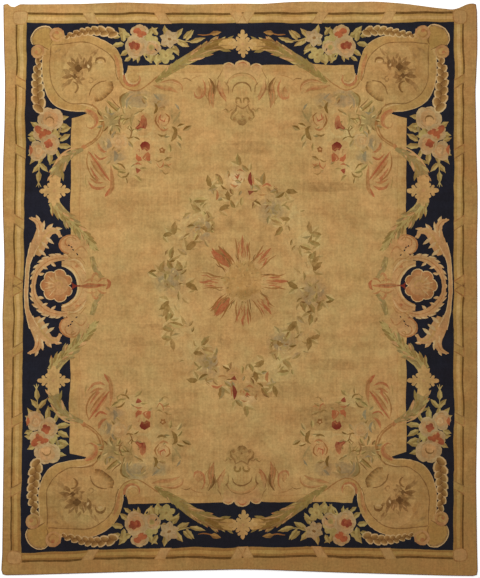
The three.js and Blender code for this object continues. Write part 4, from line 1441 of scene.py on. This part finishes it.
def inlaid(outlines, dyes, rim_count, step):
    """The flat surface cut along every area: its points, triangles, corner dyes and the places of the rim."""
    points, faces = [], []
    for outline in outlines:
        faces.append(range(len(points), len(points) + len(outline)))
        points += [Vector((p.real, p.imag)) for p in outline]
    reach_x, reach_y = (math.ceil(limit / CM / step) for limit in (RUG_HIGH.x, RUG_HIGH.y))
    for i in range(-reach_x, reach_x + 1):
        points += [Vector((i * step, j * step)) for j in range(-reach_y, reach_y + 1)]
    cut = delaunay_2d_cdt(points, [], [list(face) for face in faces], 1, CUT_TOLERANCE)
    verts = np.array([v[:] for v in cut[0]])
    triangles = np.array([list(face) for face in cut[2]])
    owner = topmost(outlines, cut[5], verts[triangles].mean(axis=1))
    used, packed = np.unique(triangles[owner >= 0], return_inverse=True)
    verts, triangles, owner = verts[used], packed.reshape(-1, 3), owner[owner >= 0]
    place_of = {}
    for new, olds in enumerate(cut[3]):
        for old in olds:
            if old < rim_count:
                place_of[old] = int(np.searchsorted(used, new))
    dyes = np.array(dyes)[owner][:, None, :]
    corners = verts[triangles]
    offset = corners - dyes[..., 8:10]
    run = dyes[..., 10:12] - dyes[..., 8:10]
    size = np.maximum((run**2).sum(-1), 1e-9)
    straight = (offset * run).sum(-1) / size
    round_share = np.sqrt((offset**2).sum(-1) / size)
    share = np.clip(np.where(dyes[..., 12] > 0.5, round_share, straight), 0, 1)[..., None]
    colours = dyes[..., 0:4] * (1 - share) + dyes[..., 4:8] * share
    return verts, triangles, colours, [place_of[i] for i in range(rim_count)]


# The rim in section from the pile to the floor: how far it is drawn in, and its share of the thickness.
RIM_SECTION = ((0.42, 1.03), (0.2, 1.04), (0.05, 0.86), (0.0, 0.6), (0.0, 0.34), (0.08, 0.12), (0.25, 0.0))

# How far apart the points of the rim are, in centimetres.
RIM_STEP = 1.8

# The underside shows only these large areas of the drawing, on a grid that is coarser by this much.
UNDERSIDE_AREAS = (0, 1, 2, 6, 7, 8)
UNDERSIDE_COARSENESS = 1.6

# At the far end, short of the corners, the rim shows the guard colour instead of the overcast edge.
FAR_END_DEPTH, FAR_END_MARGIN = 8, 3
FAR_END_SHADE = 0.9


def carpet_mesh(sizes, yarns):
    """The whole carpet as one closed mesh with its dye on the corners of its faces."""
    rim = smooth(rim_of(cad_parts["rug"]), RIM_STEP, closed=True)
    welt = sizes.welt / CM
    pile = sizes.pile_height
    step = sizes.grid_step / CM
    cartoon = carpet_cartoon(yarns, sizes, drawn_in(rim, welt))
    count = len(rim)
    verts, triangles, colours, edge = inlaid(cartoon.outlines, cartoon.dyes, count, step)
    flat = verts * CM
    tops = np.column_stack((flat, pile + lift(flat[:, 0], flat[:, 1])))
    under_outlines = [drawn_in(rim, RIM_SECTION[-1][0])] + [cartoon.outlines[i] for i in UNDERSIDE_AREAS[1:]]
    under_dyes = [cartoon.dyes[i] for i in UNDERSIDE_AREAS]
    coarse = step * UNDERSIDE_COARSENESS
    low, low_triangles, low_colours, low_edge = inlaid(under_outlines, under_dyes, count, coarse)
    low_flat = low * CM
    bottoms = np.column_stack((low_flat, lift(low_flat[:, 0], low_flat[:, 1])))
    rings = [edge]
    places_3d = [tops]
    total = len(tops)
    for inset, share in RIM_SECTION[:-1]:
        ring = np.array([(p.real, p.imag) for p in drawn_in(rim, inset)]) * CM
        places_3d.append(np.column_stack((ring, share * pile + lift(ring[:, 0], ring[:, 1]))))
        rings.append(list(range(total, total + count)))
        total += count
    rings.append([total + i for i in low_edge])
    places_3d.append(bottoms)
    faces = [tuple(face) for face in triangles.tolist()]
    shades = list(colours.reshape(-1, 4))
    sewn = np.array(cartoon.dye("selvedge", 1.0, 1.0))
    plain = np.array(cartoon.dye("guard", 1.0, 1.0))
    for upper, lower in zip(rings, rings[1:]):
        for i in range(count):
            j = (i + 1) % count
            faces.append((upper[i], lower[i], lower[j], upper[j]))
            near_end = rim[i].imag > RUG_HIGH.y / CM - FAR_END_DEPTH
            off_corner = abs(rim[i].real) < RUG_HIGH.x / CM - FAR_END_MARGIN
            shades += [plain * FAR_END_SHADE if near_end and off_corner else sewn] * 4
    for face in low_triangles.tolist():
        faces.append(tuple(total + i for i in reversed(face)))
    shades += list(low_colours[:, ::-1].reshape(-1, 4))
    mesh = bpy.data.meshes.new("aubusson_carpet")
    mesh.from_pydata(np.concatenate(places_3d).tolist(), [], faces)
    dye = mesh.color_attributes.new("dye", "FLOAT_COLOR", "CORNER")
    dye.data.foreach_set("color", np.array(shades, dtype=np.float32).ravel())
    mesh.shade_smooth()
    mesh.update()
    return mesh


class Socket:
    """A node's output, with the arithmetic that a shader needs."""

    def __init__(self, nodes, output):
        self.nodes = nodes
        self.output = output

    def math(self, operation, other=None):
        return self.nodes.add("ShaderNodeMath", {"operation": operation}, {0: self, 1: other})

    def __add__(self, other):
        return self.math("ADD", other)

    def __radd__(self, other):
        return self.math("ADD", other)

    def __sub__(self, other):
        return self.math("SUBTRACT", other)

    def __rsub__(self, other):
        return self.nodes.add("ShaderNodeMath", {"operation": "SUBTRACT"}, {0: other, 1: self})

    def __mul__(self, other):
        return self.math("MULTIPLY", other)

    def __rmul__(self, other):
        return self.math("MULTIPLY", other)


class Nodes:
    """The node tree of one material."""

    def __init__(self, material):
        material.use_nodes = True
        self.tree = material.node_tree
        self.shader = self.tree.nodes["Principled BSDF"]

    def add(self, kind, settings=None, values=None, output=0):
        """A node of any kind, with its settings made first and then its sockets filled."""
        node = self.tree.nodes.new(kind)
        for name, value in (settings or {}).items():
            if name == "stops":
                for element, (position, colour) in zip(node.color_ramp.elements, value):
                    element.position = position
                    element.color = colour
            else:
                setattr(node, name, value)
        for key, value in (values or {}).items():
            if value is not None:
                self.fill(node.inputs[key], value)
        return Socket(self, node.outputs[output])

    def fill(self, socket, value):
        """Links another node's output to a socket, or sets its value."""
        if isinstance(value, Socket):
            self.tree.links.new(value.output, socket)
        else:
            socket.default_value = value

    def set(self, **values):
        """The values or links of the shader's own sockets."""
        for name, value in values.items():
            self.fill(self.shader.inputs[name.replace("_", " ").title()], value)

    def noise(self, place, scale, detail=2.0, roughness=0.5, stretch=(1, 1, 1)):
        """Even noise from 0 to 1, which can be drawn out along an axis."""
        moved = self.add("ShaderNodeMapping", None, {"Vector": place, "Scale": stretch})
        return self.add(
            "ShaderNodeTexNoise", {"noise_dimensions": "3D"},
            {"Vector": moved, "Scale": scale, "Detail": detail, "Roughness": roughness},
        )  # fmt: skip

    def mix(self, factor, first, second):
        """A colour between two others."""
        return self.add(
            "ShaderNodeMix", {"data_type": "RGBA", "clamp_factor": True}, {0: factor, 6: first, 7: second}, 2
        )

    def scaled(self, colour, factor):
        """A colour made lighter or darker by a factor."""
        return self.add("ShaderNodeVectorMath", {"operation": "SCALE"}, {0: colour, 3: factor})

    def tinted(self, colour, tint):
        """A colour multiplied by another."""
        return self.add("ShaderNodeVectorMath", {"operation": "MULTIPLY"}, {0: colour, 1: tint})


def wool_material(yarns):
    """Short, worn wool pile over the dye of the pattern, with painted shade towards one side and one end."""
    material = bpy.data.materials.new("wool_pile")
    nodes = Nodes(material)
    place = nodes.add("ShaderNodeTexCoord", None, None, 3)
    dye = nodes.add("ShaderNodeVertexColor", {"layer_name": "dye"})
    strength = nodes.add("ShaderNodeVertexColor", {"layer_name": "dye"}, None, 1)
    patchy = nodes.noise(place, 34, 3, 0.65)
    worn = strength + (patchy - 0.5) * strength * (1 - strength) * 5.0
    ground = tuple(yarns.ground) + (1,)
    colour = nodes.mix(worn, ground, dye)
    bands = nodes.noise(place, 3.4, 3, 0.6, (0.3, 3.6, 1))
    cloud = nodes.noise(place, 3.2, 4, 0.6)
    mottle = nodes.noise(place, 16, 4, 0.7)
    speck = nodes.noise(place, 75, 2, 0.6)
    warp = nodes.noise(place, 70, 2, 0.5, (1.3, 0.08, 1))
    weft = nodes.noise(place, 70, 2, 0.5, (0.1, 1.4, 1))
    across = nodes.add("ShaderNodeSeparateXYZ", None, {0: place})
    along = nodes.add("ShaderNodeSeparateXYZ", None, {0: place}, 1)
    # Painted shade: the pile darkens towards the positive-x side and the negative-y end.
    painted_shade_side = nodes.add("ShaderNodeMapRange", None, {0: across, 1: 0.9, 2: 1.5, 3: 0.0, 4: 0.55})
    painted_shade_end = nodes.add("ShaderNodeMapRange", None, {0: along, 1: -0.95, 2: -1.75, 3: 0.0, 4: 0.6})
    painted_shade_mask = painted_shade_side + painted_shade_end
    # The age tint holds random uneven ageing and that painted shade.
    age = 0.42 + (bands - 0.5) * 1.3 + (cloud - 0.5) * 1.8 + (
        mottle - 0.5
    ) * 1.7 + (weft - 0.5) * 0.4 + painted_shade_mask
    tint = nodes.mix(age, (1.18, 1.2, 1.2, 1), (0.86, 0.79, 0.72, 1))
    aged_and_shaded = nodes.tinted(colour, tint)
    hue = nodes.noise(place, 4.6, 4, 0.65)
    aged_and_shaded = nodes.tinted(
        aged_and_shaded, nodes.mix((hue - 0.5) * 3.0 + 0.5, (1.07, 0.98, 0.97, 1), (0.96, 1.015, 1.01, 1)),
    )
    grain = 1 + (speck - 0.5) * 0.6 + (warp - 0.5) * 0.3
    nodes.set(base_color=nodes.scaled(aged_and_shaded, grain), roughness=0.96)
    nodes.shader.inputs["Specular IOR Level"].default_value = 0.12
    nodes.shader.inputs["Sheen Weight"].default_value = 0.08
    tuft = nodes.noise(place, 240, 2, 0.7)
    ridge = nodes.noise(place, 90, 2, 0.6, (0.4, 1.5, 1))
    height = tuft * 0.7 + ridge * 0.5 + speck * 0.6
    bump = nodes.add("ShaderNodeBump", None, {"Strength": 0.5, "Distance": 0.002, "Height": height})
    nodes.set(normal=bump)
    return material


def floor_material():
    """A plain white floor that glows a little, so that it stays white to its edges."""
    material = bpy.data.materials.new("pale_floor")
    nodes = Nodes(material)
    nodes.set(base_color=(0.94, 0.94, 0.94, 1), roughness=0.9, emission_color=(1, 1, 1, 1))
    nodes.shader.inputs["Emission Strength"].default_value = 0.4
    nodes.shader.inputs["Specular IOR Level"].default_value = 0.0
    return material


def link(name, data):
    """A new object in the scene."""
    item = bpy.data.objects.new(name, data)
    bpy.context.scene.collection.objects.link(item)
    return item


class CARPET_OT_stage(bpy.types.Operator):
    """Sets the camera straight above the carpet, on a pale floor in soft light"""

    bl_idname = "carpet.stage"
    bl_label = "Set the stage"

    PICTURE = (480, 578)
    CARPET_IN_PICTURE = 575.5
    SENSOR = 36.0
    PICTURE_MIDDLE = (240.0, 289.0)
    CARPET_MIDDLE = (239.5, 288.8)

    def execute(self, context):
        stage = context.scene.carpet_stage
        scale = (RUG_HIGH.y - RUG_LOW.y) / self.CARPET_IN_PICTURE
        distance = self.PICTURE[1] * scale * stage.lens / self.SENSOR
        data = bpy.data.cameras.new("camera")
        data.lens = stage.lens
        data.sensor_width = self.SENSOR
        data.clip_end = 100
        camera = link("camera", data)
        aside = (self.PICTURE_MIDDLE[0] - self.CARPET_MIDDLE[0]) * scale
        up = (self.CARPET_MIDDLE[1] - self.PICTURE_MIDDLE[1]) * scale
        camera.location = (aside, up, RUG_HIGH.z + distance)
        context.scene.camera = camera
        floor_mesh = bpy.data.meshes.new("floor")
        half = stage.floor_half
        corners = [(-half, -half, 0), (half, -half, 0), (half, half, 0), (-half, half, 0)]
        floor_mesh.from_pydata(corners, [], [(0, 1, 2, 3)])
        floor_mesh.materials.append(floor_material())
        floor = link("floor", floor_mesh)
        floor.location.z = -0.0005
        lamp = bpy.data.lights.new("key", "AREA")
        lamp.energy = stage.key
        lamp.size = 5
        key = link("key", lamp)
        key.location = (-1.8, 3.2, 5.2)
        key.rotation_euler = (Vector((0, 0.3, 0)) - key.location).to_track_quat("-Z", "Y").to_euler()
        world = bpy.data.worlds.new("studio")
        world.use_nodes = True
        background = world.node_tree.nodes["Background"]
        background.inputs["Color"].default_value = (1, 1, 1, 1)
        background.inputs["Strength"].default_value = stage.sky
        context.scene.world = world
        context.scene.view_settings.view_transform = "Standard"
        return {"FINISHED"}


class CARPET_OT_weave(bpy.types.Operator):
    """Knots the carpet: its outline, its rim, its low swells and its whole pattern"""

    bl_idname = "carpet.weave"
    bl_label = "Weave the carpet"

    def execute(self, context):
        scene = context.scene
        mesh = carpet_mesh(scene.carpet_sizes, scene.carpet_yarns)
        mesh.materials.append(wool_material(scene.carpet_yarns))
        carpet = link("carpet", mesh)
        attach(carpet, "root")
        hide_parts("rug")
        return {"FINISHED"}


class CARPET_PT_panel(bpy.types.Panel):
    """Lists what can be made"""

    bl_idname = "CARPET_PT_panel"
    bl_label = "Aubusson Carpet"
    bl_space_type = "VIEW_3D"
    bl_region_type = "UI"
    bl_category = "Carpet"

    def draw(self, context):
        for operator in OPERATORS:
            self.layout.operator(operator.bl_idname)
        for group in ("carpet_sizes", "carpet_yarns", "carpet_stage"):
            settings = getattr(context.scene, group)
            box = self.layout.box()
            for name in settings.__annotations__:
                box.prop(settings, name)


OPERATORS = (CARPET_OT_stage, CARPET_OT_weave)
GROUPS = {"carpet_sizes": CarpetSizes, "carpet_yarns": CarpetYarns, "carpet_stage": CarpetStage}


def register():
    """Makes the settings, operators and panel known to Blender."""
    for group in (*GROUPS.values(), *OPERATORS, CARPET_PT_panel):
        bpy.utils.register_class(group)
    for name, group in GROUPS.items():
        setattr(bpy.types.Scene, name, bpy.props.PointerProperty(type=group))


def unregister():
    """Takes them away again."""
    for name in GROUPS:
        delattr(bpy.types.Scene, name)
    for group in reversed((*GROUPS.values(), *OPERATORS, CARPET_PT_panel)):
        bpy.utils.unregister_class(group)


def main():
    """Registers the add-on and runs its operators in order."""
    register()
    bpy.ops.carpet.stage()
    bpy.ops.carpet.weave()


if __name__ == "__main__":
    main()
